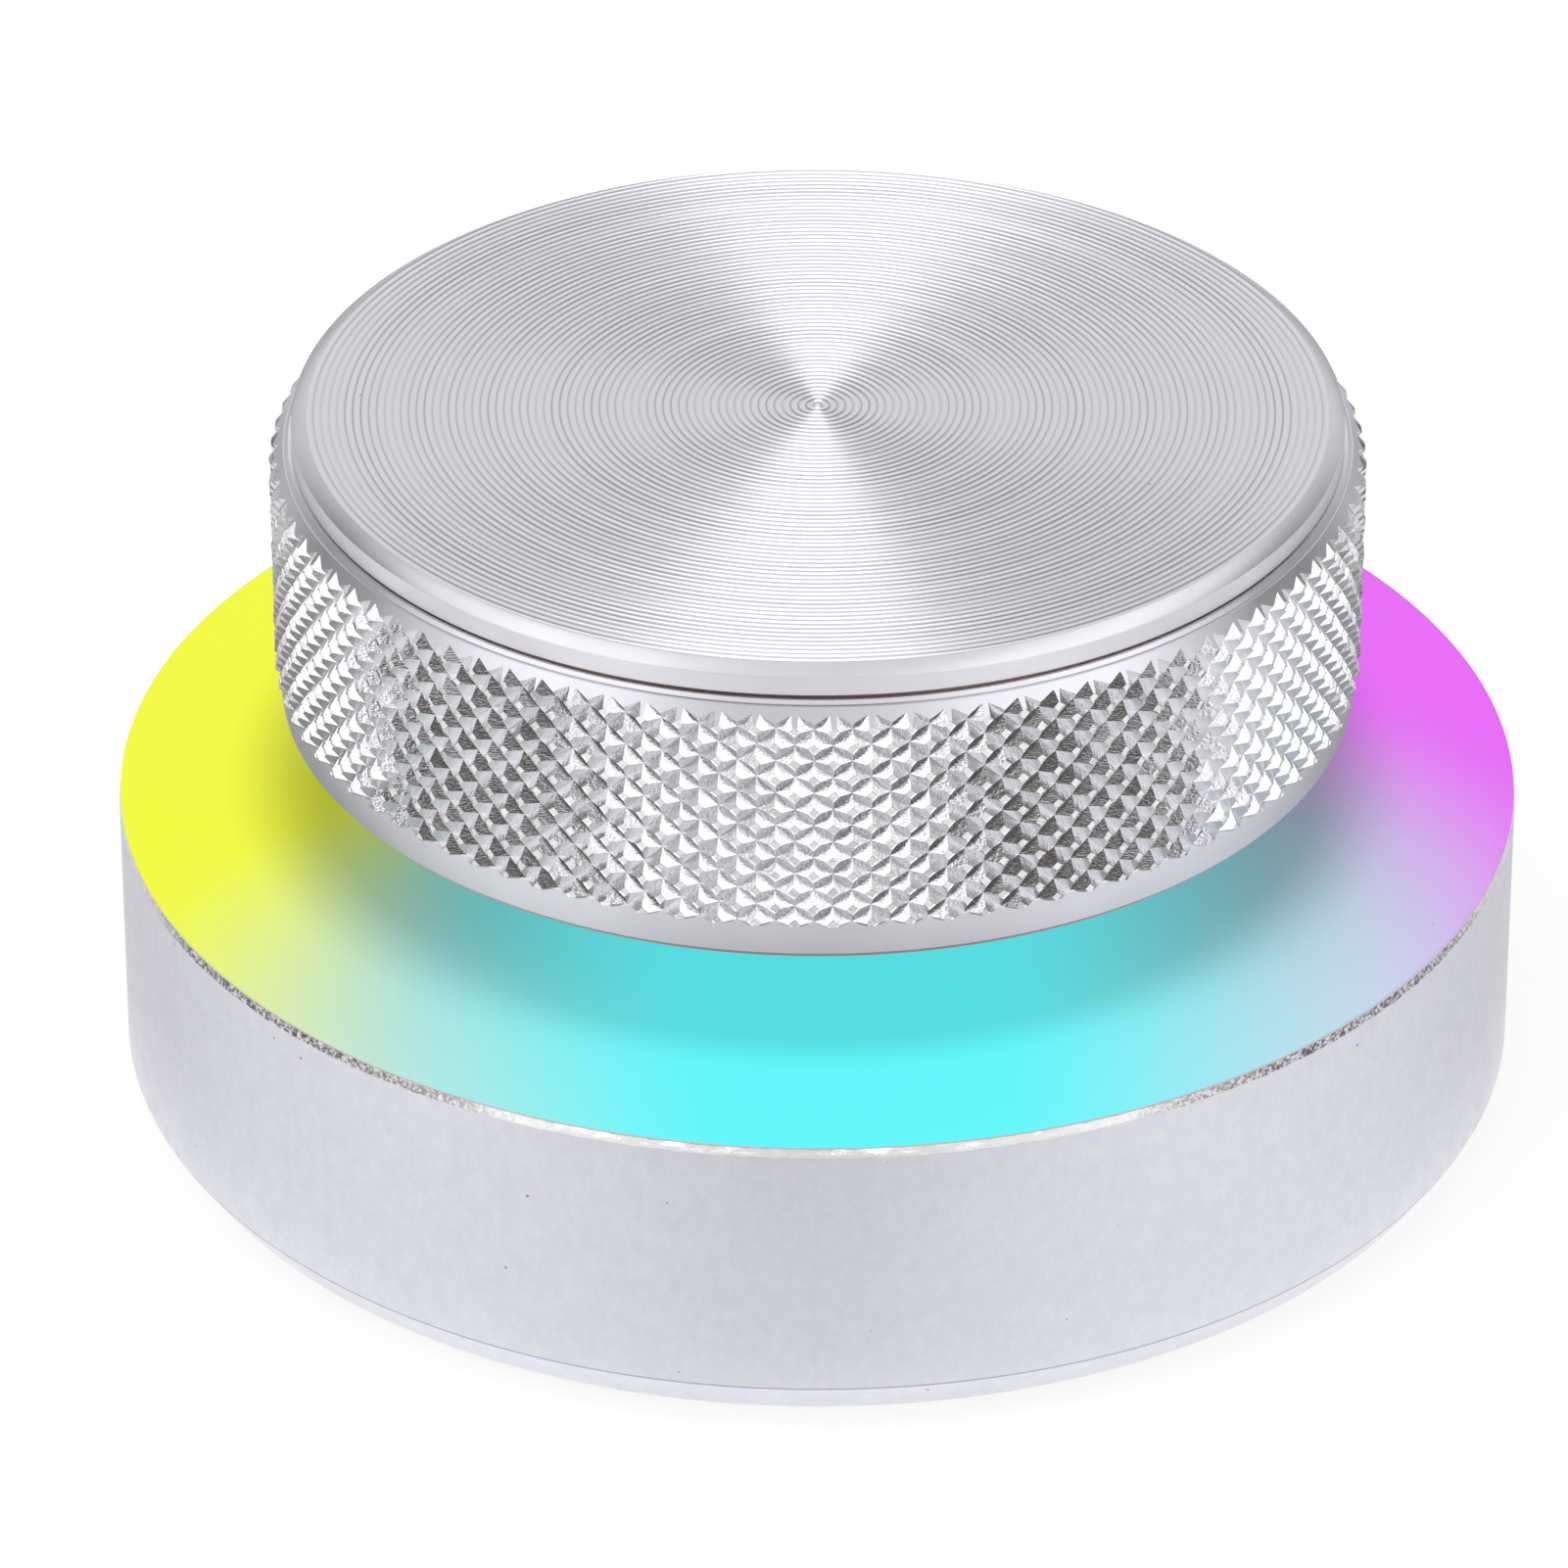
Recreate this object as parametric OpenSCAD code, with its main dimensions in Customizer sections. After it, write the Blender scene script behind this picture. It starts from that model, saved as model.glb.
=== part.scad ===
// Desktop volume control: a low round base with a lit acrylic deck, and a
// knurled aluminium drum that turns without end and presses down to click.
// Millimetres. Origin at the centre of the underside, +Z up, cable inlet at +Y.

/* [Base] */
// Diameter of the aluminium base
base_d = 60; // [58:0.5:64]
// Height of the base's rim above the table
base_top_z = 13.75; // [13.75:0.25:15]
// Wall thickness of the base
base_wall = 2.4; // [2:0.1:3]
// Height of the sloped band round the foot of the base
base_foot_h = 1.6; // [1:0.1:2]
// How far the sloped band draws in
base_foot_inset = 1; // [0.5:0.1:1.4]
// Width of the bevel on the rim
rim_bevel_w = 0.1; // [0.05:0.05:0.3]
// Height of the bevel on the rim
rim_bevel_h = 0.3; // [0.2:0.05:0.5]

/* [Deck and underside] */
// Thickness of the lit acrylic deck below its lip
deck_t = 2.75; // [2.5:0.05:2.75]
// Thickness of the deck's lip, which lies on the base's rim
deck_lip_t = 0.23; // [0.2:0.01:0.3]
// Thickness of the rubber foot pad
pad_t = 0.9; // [0.7:0.1:0.9]
// How far the foot pad holds the base off the table
pad_proud = 0.5; // [0.3:0.1:0.6]
// Thickness of the bottom plate
bottom_plate_t = 1; // [0.8:0.1:1]

/* [Drum] */
// Radius over the crests of the knurl
knurl_crest_r = 23.2; // [22.5:0.1:24]
// Depth of the knurl from crest to valley
knurl_depth = 0.3; // [0.3:0.05:0.6]
// Diamonds round the drum
knurl_count = 92; // [60:2:100]
// Rows of whole diamonds up the drum
knurl_rows = 6; // [4:1:6]
// Height of one row of diamonds
knurl_row_h = 1.52; // [1.4:0.01:1.6]
// Height of the drum's underside above the table
drum_bottom_z = 18.5; // [18.4:0.1:19]
// Height of the knurl's lower end above the drum's underside
knurl_start_h = 1.8; // [1.6:0.1:2]
// Gap between the drum's sleeve and its cap
cap_seam = 0.12; // [0.1:0.02:0.24]
// Radius of the cap's short wall
cap_r = 22.2; // [22:0.05:22.3]
// Height of the cap's short wall
cap_wall_h = 0.83; // [0.6:0.01:1]
// Width of the bevel round the cap
cap_bevel_w = 0.6; // [0.3:0.05:0.8]
// Height of the bevel round the cap
cap_bevel_h = 0.35; // [0.2:0.05:0.5]
// Turned grooves from the cap's edge to its centre
cap_grooves = 64; // [20:1:80]
// Depth of one turned groove
cap_groove_depth = 0.06; // [0.03:0.01:0.1]

/* [Encoder] */
// Diameter of the encoder's shaft
shaft_d = 6; // [6:0.1:6]
// Length of the shaft above the encoder's mounting face
shaft_l = 15; // [14.5:0.5:15]
// Thickness left at the shaft's flat
shaft_flat_t = 4.5; // [4.3:0.1:4.7]
// Length of the encoder's threaded bushing
bushing_l = 7; // [6:0.5:7]
// Diameter of the bushing's thread
bushing_d = 7; // [7:0.1:7]
// Pitch of the bushing's thread
thread_pitch = 0.75; // [0.75:0.25:1]
// Height of the encoder's body
encoder_h = 6.5; // [6.4:0.05:6.5]
// Radial clearance of the shaft in its bushing
shaft_clearance = 0.04; // [0.02:0.01:0.08]
// How far the drum presses down
press_travel = 0.5; // [0.3:0.05:0.5]

/* [Electronics] */
// Thickness of the circuit board
board_t = 1.2; // [1:0.1:1.2]
// Colour LEDs under the deck
led_count = 4; // [4:4:4]
// Radius of the ring that the LEDs stand on
led_ring_r = 19; // [17:0.5:19]
// Diameter of the cable that the inlet takes
cable_d = 3.5; // [3:0.1:3.8]

/* [Hidden] */
$fn = 96;
eps = 0.01;

// Base, outside to inside
base_r = base_d / 2;
base_inner_r = base_r - base_wall;
rim_flat_w = 0.48;
deck_pocket_r = base_r - rim_bevel_w - rim_flat_w;
deck_r = deck_pocket_r - 0.05;
deck_lip_r = base_r - 0.05;
deck_top_z = base_top_z + deck_lip_t;
deck_bottom_z = base_top_z - deck_t;
bottom_plate_z = pad_t;
bottom_plate_top_z = bottom_plate_z + bottom_plate_t;
bottom_plate_r = base_inner_r - 0.1;
pad_r = bottom_plate_r - 0.8;

// Six bosses inside the base, three for the board and three for the bottom plate
boss_r = 2.3;
boss_ring_r = base_inner_r - boss_r + 0.4;
board_boss_turns = [60, 180, 300];
bottom_boss_turns = [0, 120, 240];
screw_r = 0.97;
screw_hole_r = 1;
screw_hole_top_z = 9.5;
screw_head_r = 1.9;
screw_head_h = 1.1;

// Circuit board
board_z = deck_bottom_z - encoder_h - board_t;
board_top_z = board_z + board_t;
board_r = base_inner_r - 0.7;
boss_gap = 0.4;

// Cable inlet in the back wall
inlet_z = 7.6;
inlet_hole_r = 2.55;
inlet_face_y = base_r - 0.3;
inlet_step_y = base_r - 1.2;
inlet_flange_r = 3.1;
grommet_inner_y = base_inner_r - 1;
grommet_seat_y = sqrt(pow(base_inner_r, 2) - pow(inlet_flange_r, 2)) - 0.03;

// Encoder: a 12 by 11.7 mm body with a threaded bushing
case_w = 11.7;
case_d = 12;
bracket_t = 0.4;
case_top_z = deck_bottom_z - bracket_t;
bushing_r = bushing_d / 2;
bushing_top_z = deck_bottom_z + bushing_l;
shaft_r = shaft_d / 2;
shaft_bore_r = shaft_r + shaft_clearance;
flange_r = 4.7;
flange_t = 0.8;
flange_z = case_top_z - flange_t;
rotor_r = 4.6;
rotor_z = board_top_z + 2.4;
rotor_top_z = rotor_z + 2.55;
rotor_well_r = rotor_r + 0.3;
shank_r = 2.2;
shank_flat = 1.6;
shank_z = rotor_z - 0.3;
shank_top_z = flange_z + 0.9;
clip_t = 0.22;
clip_r = 3;
clip_z = rotor_z - 0.04 - clip_t;
switch_well_r = 3.3;
plunger_r = 2.1;
plunger_z = shank_z - 0.8;
dome_top_z = plunger_z - 0.03;
switch_floor_z = dome_top_z - press_travel - 0.17;
detent_count = 20;
pin_w = 0.8;
pin_t = 0.3;
pin_hole_r = 0.6;
pin_reach = 1.15;
pin_shoulder_z = board_top_z + 1;
pin_tip_z = bottom_plate_top_z + 0.6;
lug_w = 2.2;
lug_slot_gap = 0.15;

// Nut and washer on top of the deck
washer_r = 5.9;
washer_t = 0.5;
nut_t = 2;
nut_corner_r = 10 / sqrt(3);
washer_z = deck_top_z;
nut_z = washer_z + washer_t;

// Drum
shaft_top_z = deck_bottom_z + shaft_l;
knurl_valley_r = knurl_crest_r - knurl_depth;
knurl_z = drum_bottom_z + knurl_start_h;
band_r = knurl_crest_r - 0.3;
band_chamfer = 0.3;
shoulder_top_r = knurl_crest_r - 0.6;
ring_top_z = drum_bottom_z + 12;
ring_edge_r = cap_r + 0.15;
ring_bore_r = 19.5;
ring_lip_r = 18.5;
ring_lip_t = 0.9;
sleeve_fit = 0.03;
core_r = ring_bore_r - sleeve_fit;
core_nose_r = ring_lip_r - sleeve_fit;
core_seat_z = ring_top_z - ring_lip_t;
counterbore_r = 7.5;
counterbore_h = 1.7;
insert_r = 4.6;
insert_z = drum_bottom_z + counterbore_h;
insert_top_z = shaft_top_z + 1;
cap_underside_z = ring_top_z + cap_seam;
cap_edge_z = cap_underside_z + cap_wall_h;
cap_top_z = cap_edge_z + cap_bevel_h;
cap_face_r = cap_r - cap_bevel_w;

// Copies of a piece at the given turns about the upright axis
module at_turns(turns, ring_r) {
    for (turn = turns)
        rotate([0, 0, turn])
            translate([ring_r, 0, 0])
                children();
}

// A bar along Y through the cable inlet, from one depth to another
module inlet_bar(bar_r, y_from, y_to) {
    translate([0, y_from, inlet_z])
        rotate([-90, 0, 0])
            cylinder(r = bar_r, h = y_to - y_from);
}

// Flat-topped block standing on the board, centred on its own place
module board_block(at, size, turn = 0) {
    translate([at[0], at[1], board_top_z])
        rotate([0, 0, turn])
            translate([-size[0] / 2, -size[1] / 2, 0])
                cube(size);
}

// ---- Base ----

// Turned aluminium base: foot band, wall, bevelled rim and the deck's pocket
module base_shell() {
    color([0.84, 0.85, 0.88])
        difference() {
            union() {
                rotate_extrude()
                    polygon([
                        [base_inner_r, pad_proud],
                        [base_r - base_foot_inset, pad_proud],
                        [base_r, pad_proud + base_foot_h],
                        [base_r, base_top_z - rim_bevel_h],
                        [base_r - rim_bevel_w, base_top_z],
                        [deck_pocket_r, base_top_z],
                        [deck_pocket_r, deck_bottom_z],
                        [base_inner_r, deck_bottom_z]
                    ]);
                shell_bosses(board_boss_turns, board_top_z);
                shell_bosses(bottom_boss_turns, bottom_plate_top_z);
            }
            at_turns(board_boss_turns, boss_ring_r)
                translate([0, 0, board_top_z - eps])
                    cylinder(r = screw_hole_r, h = screw_hole_top_z - board_top_z, $fn = 32);
            at_turns(bottom_boss_turns, boss_ring_r)
                translate([0, 0, bottom_plate_top_z - eps])
                    cylinder(r = screw_hole_r, h = screw_hole_top_z - bottom_plate_top_z, $fn = 32);
            inlet_bar(inlet_hole_r, base_inner_r - 1.5, base_r + 1);
            inlet_bar(inlet_flange_r, inlet_step_y, base_r + 1);
        }
}

// Round bosses that merge into the wall and stop at the deck's ledge
module shell_bosses(turns, from_z) {
    intersection() {
        at_turns(turns, boss_ring_r)
            translate([0, 0, from_z])
                cylinder(r = boss_r, h = deck_bottom_z - from_z, $fn = 48);
        translate([0, 0, from_z])
            cylinder(r = base_inner_r + 0.5, h = deck_bottom_z - from_z);
    }
}

// Clear acrylic deck that carries the light out over the rim
module light_plate() {
    edge = 0.06;
    color([0.7, 0.93, 0.86, 0.8])
        rotate_extrude()
            polygon([
                [bushing_r + 0.1, deck_bottom_z],
                [deck_r, deck_bottom_z],
                [deck_r, base_top_z],
                [deck_lip_r, base_top_z],
                [deck_lip_r, deck_top_z - edge],
                [deck_lip_r - edge, deck_top_z],
                [bushing_r + 0.1, deck_top_z]
            ]);
}

// Pressed steel plate that closes the underside
module bottom_plate() {
    color([0.35, 0.36, 0.38])
        difference() {
            translate([0, 0, bottom_plate_z])
                cylinder(r = bottom_plate_r, h = bottom_plate_t);
            at_turns(bottom_boss_turns, boss_ring_r)
                countersink(screw_hole_r + 0.1, screw_head_r + 0.1);
        }
}

// The hole of one countersunk screw in the bottom plate
module countersink(hole_r, head_r) {
    translate([0, 0, bottom_plate_z - eps])
        cylinder(r1 = head_r + eps, r2 = hole_r, h = head_r - hole_r + 2 * eps, $fn = 48);
    translate([0, 0, bottom_plate_z])
        cylinder(r = hole_r, h = bottom_plate_t + 1, $fn = 32);
}

// Rubber pad under the plate, with a softened edge
module foot_pad() {
    edge = 0.25;
    color([0.12, 0.12, 0.13])
        rotate_extrude()
            polygon([
                [0, 0],
                [pad_r - edge, 0],
                [pad_r, edge],
                [pad_r, pad_t],
                [0, pad_t]
            ]);
}

// Three countersunk screws that hold the bottom plate, under the pad
module bottom_screws() {
    color([0.6, 0.6, 0.62])
        at_turns(bottom_boss_turns, boss_ring_r)
            difference() {
                union() {
                    translate([0, 0, bottom_plate_z])
                        cylinder(r1 = screw_head_r, r2 = screw_r, h = screw_head_r - screw_r, $fn = 48);
                    translate([0, 0, bottom_plate_z])
                        cylinder(r = screw_r, h = screw_hole_top_z - 1.5 - bottom_plate_z, $fn = 32);
                }
                drive_cross(bottom_plate_z);
            }
}

// Cross recess in a screw's head, cut upward from the given height
module drive_cross(head_z) {
    for (turn = [0, 90])
        rotate([0, 0, turn])
            translate([-0.9, -0.17, head_z - eps])
                cube([1.8, 0.34, 0.6]);
}

// ---- Electronics ----

// Round circuit board with notches for the bosses and holes for the pins
module circuit_board() {
    color([0.05, 0.22, 0.12])
        difference() {
            translate([0, 0, board_z])
                cylinder(r = board_r, h = board_t);
            translate([0, 0, board_z - 1]) {
                at_turns(bottom_boss_turns, boss_ring_r)
                    cylinder(r = boss_r + boss_gap, h = board_t + 2, $fn = 48);
                at_turns(board_boss_turns, boss_ring_r)
                    cylinder(r = screw_hole_r + 0.1, h = board_t + 2, $fn = 32);
                for (at = pin_places())
                    translate([at[0], at[1], 0])
                        cylinder(r = pin_hole_r, h = board_t + 2, $fn = 24);
                for (side = [-1, 1])
                    translate([side * (case_w + bracket_t) / 2, 0, (board_t + 2) / 2])
                        cube([bracket_t, lug_w, board_t + 2] + [1, 1, 0] * 2 * lug_slot_gap, center = true);
            }
        }
}

// Where the encoder's pins pass the board: three in front, two behind
function pin_places() = concat(
    [for (x = [-2.5, 0, 2.5]) [x, -case_d / 2 - pin_reach + pin_t / 2]],
    [for (x = [-2.5, 2.5]) [x, case_d / 2 + pin_reach - pin_t / 2]]
);

// Pan-head screws that hold the board up against its bosses
module board_screws() {
    color([0.72, 0.72, 0.74])
        at_turns(board_boss_turns, boss_ring_r)
            difference() {
                translate([0, 0, board_z])
                    rotate_extrude($fn = 48)
                        polygon([
                            [0, -screw_head_h],
                            [screw_head_r - 0.4, -screw_head_h],
                            [screw_head_r, -screw_head_h + 0.4],
                            [screw_head_r, 0],
                            [screw_r, 0],
                            [screw_r, board_t + 3.4],
                            [0, board_t + 3.4]
                        ]);
                drive_cross(board_z - screw_head_h);
            }
}

// Colour LEDs: a square package with a round lens well
module rgb_leds() {
    led_w = 5;
    led_h = 1.3;
    color([0.95, 0.95, 0.92])
        for (i = [0 : led_count - 1])
            rotate([0, 0, i * 360 / led_count])
                difference() {
                    board_block([led_ring_r, 0], [led_w, led_w, led_h]);
                    translate([led_ring_r, 0, board_top_z + led_h - 0.35])
                        cylinder(r1 = 1.7, r2 = 2, h = 0.35 + eps, $fn = 48);
                    translate([led_ring_r - led_w / 2, -led_w / 2, board_top_z - eps])
                        rotate([0, 0, 45])
                            cube([0.9, 0.9, 4], center = true);
                }
}

// Square controller package with a pin-one dimple
module controller_chip() {
    color([0.09, 0.09, 0.1])
        difference() {
            board_block([-12, -12], [7, 7, 1], 45);
            translate([-12, -12, board_top_z + 0.9])
                rotate([0, 0, 45])
                    translate([-2.6, 2.6, 0])
                        cylinder(r = 0.4, h = 1, $fn = 24);
        }
}

// Regulator with its tab and three legs
module voltage_regulator() {
    color([0.12, 0.12, 0.13])
        translate([12, 12, 0])
            rotate([0, 0, 45]) {
                board_block([0, 0], [6.5, 3.5, 1.6]);
                for (x = [-2.3, 0, 2.3])
                    translate([x - 0.35, -3.3, board_top_z])
                        cube([0.7, 1.55 + eps, 0.3]);
                translate([-1.5, 1.75 - eps, board_top_z])
                    cube([3, 1.55, 0.3]);
            }
}

// Metal-cased crystal
module clock_crystal() {
    color([0.75, 0.75, 0.76]) {
        board_block([-6, -15.5], [3.2, 2.5, 0.4]);
        translate([0, 0, 0.4 - eps])
            board_block([-6, -15.5], [2.9, 2.2, 0.35]);
    }
}

// Ceramic capacitors, end caps included
module chip_capacitors() {
    places = [[8, -13.5], [11, -12], [-15, 5], [-13, 8], [7, 15], [15.5, 5.5]];
    color([0.62, 0.5, 0.36])
        for (at = places)
            translate([at[0], at[1], 0])
                rotate([0, 0, 30]) {
                    board_block([0, 0], [2, 1.2, 0.8]);
                    for (side = [-1, 1])
                        board_block([side * 0.83, 0], [0.4, 1.3, 0.86]);
                }
}

// Thin chip resistors beside the LEDs
module chip_resistors() {
    color([0.13, 0.13, 0.14])
        for (i = [0 : led_count - 1])
            rotate([0, 0, i * 360 / led_count + 24])
                board_block([led_ring_r, 0], [2, 1.25, 0.5]);
}

// Open-topped socket where the cable's wires end
module cable_header() {
    at = [-6.1, 22.6];
    size = [6.8, 4, 3.5];
    color([0.92, 0.9, 0.84]) {
        difference() {
            board_block(at, size);
            translate([0, 0, 0.8])
                board_block(at, size - [1.2, 1.2, 0]);
        }
        for (i = [0 : 3])
            translate([0, 0, 0.8 - eps])
                board_block(at + [(i - 1.5) * 1.25, 0], [0.4, 0.4, 2]);
    }
}

// Rubber grommet that lines the inlet, gripping the wall on both sides
module cable_grommet() {
    neck_r = inlet_hole_r - 0.03;
    lip_r = inlet_flange_r - 0.05;
    color([0.1, 0.1, 0.11])
        translate([0, 0, inlet_z])
            rotate([-90, 0, 0])
                rotate_extrude()
                    polygon([
                        [cable_d / 2, grommet_inner_y],
                        [lip_r - 0.4, grommet_inner_y],
                        [lip_r, grommet_inner_y + 0.4],
                        [lip_r, grommet_seat_y - 0.1],
                        [neck_r, grommet_seat_y],
                        [neck_r, inlet_step_y],
                        [lip_r, inlet_step_y],
                        [lip_r, inlet_face_y - 0.3],
                        [lip_r - 0.3, inlet_face_y],
                        [cable_d / 2, inlet_face_y]
                    ]);
}

// ---- Encoder ----

// Moulded case with a well for the rotor and one for the press switch
module encoder_case() {
    color([0.13, 0.15, 0.14])
        difference() {
            translate([-case_w / 2, -case_d / 2, board_top_z])
                cube([case_w, case_d, case_top_z - board_top_z]);
            translate([0, 0, rotor_z - 0.1])
                cylinder(r = rotor_well_r, h = case_top_z);
            translate([0, 0, switch_floor_z])
                cylinder(r = switch_well_r, h = rotor_z);
        }
}

// Folded steel bracket: a top sheet, two side legs and their lugs
module encoder_bracket() {
    leg_x = case_w / 2;
    color([0.78, 0.79, 0.8]) {
        difference() {
            translate([-leg_x - bracket_t, -case_d / 2, case_top_z])
                cube([case_w + 2 * bracket_t, case_d, bracket_t]);
            translate([0, 0, case_top_z - 1])
                cylinder(r = bushing_r + 0.02, h = 2);
        }
        for (side = [-1, 1])
            translate([side * (leg_x + bracket_t / 2), 0, 0]) {
                translate([-bracket_t / 2, -2.75, board_top_z + 0.3])
                    cube([bracket_t, 5.5, case_top_z - board_top_z - 0.3 + eps]);
                translate([-bracket_t / 2, -lug_w / 2, board_z - 0.4])
                    cube([bracket_t, lug_w, board_t + 0.8]);
            }
    }
}

// Zinc bushing with its flange, its thread and the shaft's bore
module encoder_bushing() {
    thread_d = 0.3;
    turns = floor((bushing_l - 1) / thread_pitch);
    thread_z = bushing_top_z - 0.4 - turns * thread_pitch;
    color([0.72, 0.73, 0.75])
        rotate_extrude()
            polygon(concat(
                [[shaft_bore_r, flange_z], [flange_r, flange_z], [flange_r, case_top_z], [bushing_r, case_top_z]],
                [for (i = [0 : turns - 1], half = [0, 1])
                    [bushing_r - half * thread_d, thread_z + (i + half / 2) * thread_pitch]],
                [[bushing_r, bushing_top_z - 0.4], [bushing_r - 0.4, bushing_top_z], [shaft_bore_r, bushing_top_z]]
            ));
}

// Five bent solder pins
module encoder_pins() {
    color([0.8, 0.78, 0.7])
        for (at = pin_places()) {
            outward = sign(at[1]);
            translate([at[0] - pin_w / 2, at[1] - pin_t / 2, pin_tip_z])
                cube([pin_w, pin_t, pin_shoulder_z - pin_tip_z]);
            translate([at[0] - pin_w / 2, outward > 0 ? case_d / 2 : at[1] - pin_t / 2, pin_shoulder_z - pin_t])
                cube([pin_w, pin_reach, pin_t]);
        }
}

// Ring spring with two noses over the rotor's notches
module detent_spring() {
    spring_t = 0.15;
    color([0.85, 0.7, 0.35]) {
        translate([0, 0, flange_z - spring_t])
            difference() {
                cylinder(r = rotor_r - 0.1, h = spring_t);
                translate([0, 0, -1])
                    cylinder(r = rotor_r - 1.1, h = 2);
            }
        at_turns([90, 270], rotor_r - 0.6)
            translate([0, 0, flange_z - spring_t - 0.06])
                cylinder(r1 = 0.15, r2 = 0.3, h = 0.06 + eps, $fn = 24);
    }
}

// Sprung steel dome of the press switch
module switch_dome() {
    color([0.8, 0.81, 0.83])
        translate([0, 0, switch_floor_z])
            rotate_extrude()
                polygon([
                    [0, dome_top_z - switch_floor_z - 0.12],
                    [1.1, dome_top_z - switch_floor_z - 0.16],
                    [2.3, 0],
                    [2.5, 0],
                    [2.5, 0.1],
                    [1.3, dome_top_z - switch_floor_z - 0.02],
                    [0, dome_top_z - switch_floor_z]
                ]);
}

// Flat washer on the deck
module encoder_washer() {
    color([0.82, 0.83, 0.84])
        translate([0, 0, washer_z])
            difference() {
                cylinder(r = washer_r, h = washer_t);
                translate([0, 0, -1])
                    cylinder(r = bushing_r + 0.05, h = washer_t + 2);
            }
}

// Hexagon nut with its corners turned off
module encoder_nut() {
    color([0.82, 0.83, 0.84])
        translate([0, 0, nut_z])
            difference() {
                intersection() {
                    cylinder(r = nut_corner_r, h = nut_t, $fn = 6);
                    rotate_extrude()
                        polygon([
                            [0, 0],
                            [nut_corner_r - 0.5, 0],
                            [nut_corner_r, 0.3],
                            [nut_corner_r, nut_t - 0.3],
                            [nut_corner_r - 0.5, nut_t],
                            [0, nut_t]
                        ]);
                }
                translate([0, 0, -1])
                    cylinder(r = bushing_r + 0.02, h = nut_t + 2);
            }
}

// Contact rotor with its detent notches, driven by the flats on the shaft
module encoder_rotor() {
    drive_gap = 0.05;
    color([0.93, 0.91, 0.86])
        difference() {
            translate([0, 0, rotor_z])
                cylinder(r = rotor_r, h = rotor_top_z - rotor_z);
            translate([0, 0, rotor_z - 1])
                flatted_bar(shank_r + drive_gap, shank_flat + drive_gap, rotor_top_z - rotor_z + 2);
            for (i = [0 : detent_count - 1])
                rotate([0, 0, (i + 0.5) * 360 / detent_count])
                    translate([rotor_r - 1.2, 0, rotor_top_z])
                        rotate([0, 90, 0])
                            cylinder(r = 0.25, h = 2, $fn = 16);
        }
}

// Round bar with a flat on both sides
module flatted_bar(bar_r, flat, bar_h) {
    intersection() {
        cylinder(r = bar_r, h = bar_h, $fn = 64);
        translate([-bar_r - 1, -flat, -1])
            cube([2 * bar_r + 2, 2 * flat, bar_h + 2]);
    }
}

// Plunger between the shaft's end and the dome
module switch_plunger() {
    color([0.9, 0.35, 0.2])
        translate([0, 0, plunger_z])
            rotate_extrude()
                polygon([
                    [0, 0],
                    [0.9, 0],
                    [0.9, 0.35],
                    [plunger_r, 0.35],
                    [plunger_r, shank_z - plunger_z],
                    [0, shank_z - plunger_z]
                ]);
}

// ---- Drum ----

// Steel shaft: driving flats below, a plain journal, and one flat for the drum
module knob_shaft() {
    flat_x = shaft_flat_t - shaft_r;
    flat_z = insert_z - 1.2;
    groove_r = shank_r - 0.5;
    color([0.75, 0.76, 0.78])
        difference() {
            union() {
                translate([0, 0, shank_z])
                    flatted_bar(shank_r, shank_flat, shank_top_z - shank_z + eps);
                translate([0, 0, shank_top_z])
                    rotate_extrude()
                        polygon([
                            [0, 0],
                            [shaft_r - 0.3, 0],
                            [shaft_r, 0.3],
                            [shaft_r, shaft_top_z - shank_top_z - 0.5],
                            [shaft_r - 0.5, shaft_top_z - shank_top_z],
                            [0, shaft_top_z - shank_top_z]
                        ]);
            }
            translate([flat_x, -shaft_r - 1, flat_z])
                cube([shaft_d, 2 * shaft_r + 2, shaft_l]);
            translate([0, 0, clip_z])
                difference() {
                    cylinder(r = shank_r + 1, h = clip_t);
                    translate([0, 0, -1])
                        cylinder(r = groove_r, h = clip_t + 2);
                }
        }
}

// Spring clip in the shaft's groove, which keeps the shaft from lifting out
module shaft_clip() {
    clip_bore_r = shank_r - 0.48;
    gap = 2.2;
    side_gap = 0.01;
    color([0.3, 0.3, 0.32])
        translate([0, 0, clip_z + side_gap])
            difference() {
                cylinder(r = clip_r, h = clip_t - 2 * side_gap);
                translate([0, 0, -1])
                    cylinder(r = clip_bore_r, h = clip_t + 2);
                translate([0, -gap / 2, -1])
                    cube([clip_r + 1, gap, clip_t + 2]);
            }
}

// Moulded insert with the bore that fits the shaft's flat
module shaft_insert() {
    bore_gap = 0.02;
    flat_x = shaft_flat_t - shaft_r;
    bore_top_z = shaft_top_z + 0.05;
    color([0.16, 0.16, 0.17])
        difference() {
            translate([0, 0, insert_z])
                cylinder(r = insert_r, h = insert_top_z - insert_z);
            difference() {
                translate([0, 0, insert_z - 1])
                    cylinder(r = shaft_r + bore_gap, h = bore_top_z - insert_z + 1);
                translate([flat_x + bore_gap, -shaft_r - 1, insert_z - 2])
                    cube([shaft_d, 2 * shaft_r + 2, shaft_l]);
            }
        }
}

// Solid turned core that gives the drum its weight
module knob_core() {
    edge = 0.4;
    color([0.8, 0.81, 0.83])
        difference() {
            rotate_extrude()
                polygon([
                    [0, drum_bottom_z],
                    [core_r - edge, drum_bottom_z],
                    [core_r, drum_bottom_z + edge],
                    [core_r, core_seat_z],
                    [core_nose_r, core_seat_z],
                    [core_nose_r, ring_top_z],
                    [0, ring_top_z]
                ]);
            translate([0, 0, drum_bottom_z - 1])
                cylinder(r = counterbore_r, h = counterbore_h + 1);
            translate([0, 0, insert_z - eps])
                cylinder(r = insert_r + sleeve_fit, h = insert_top_z - insert_z + eps);
        }
}

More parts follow.
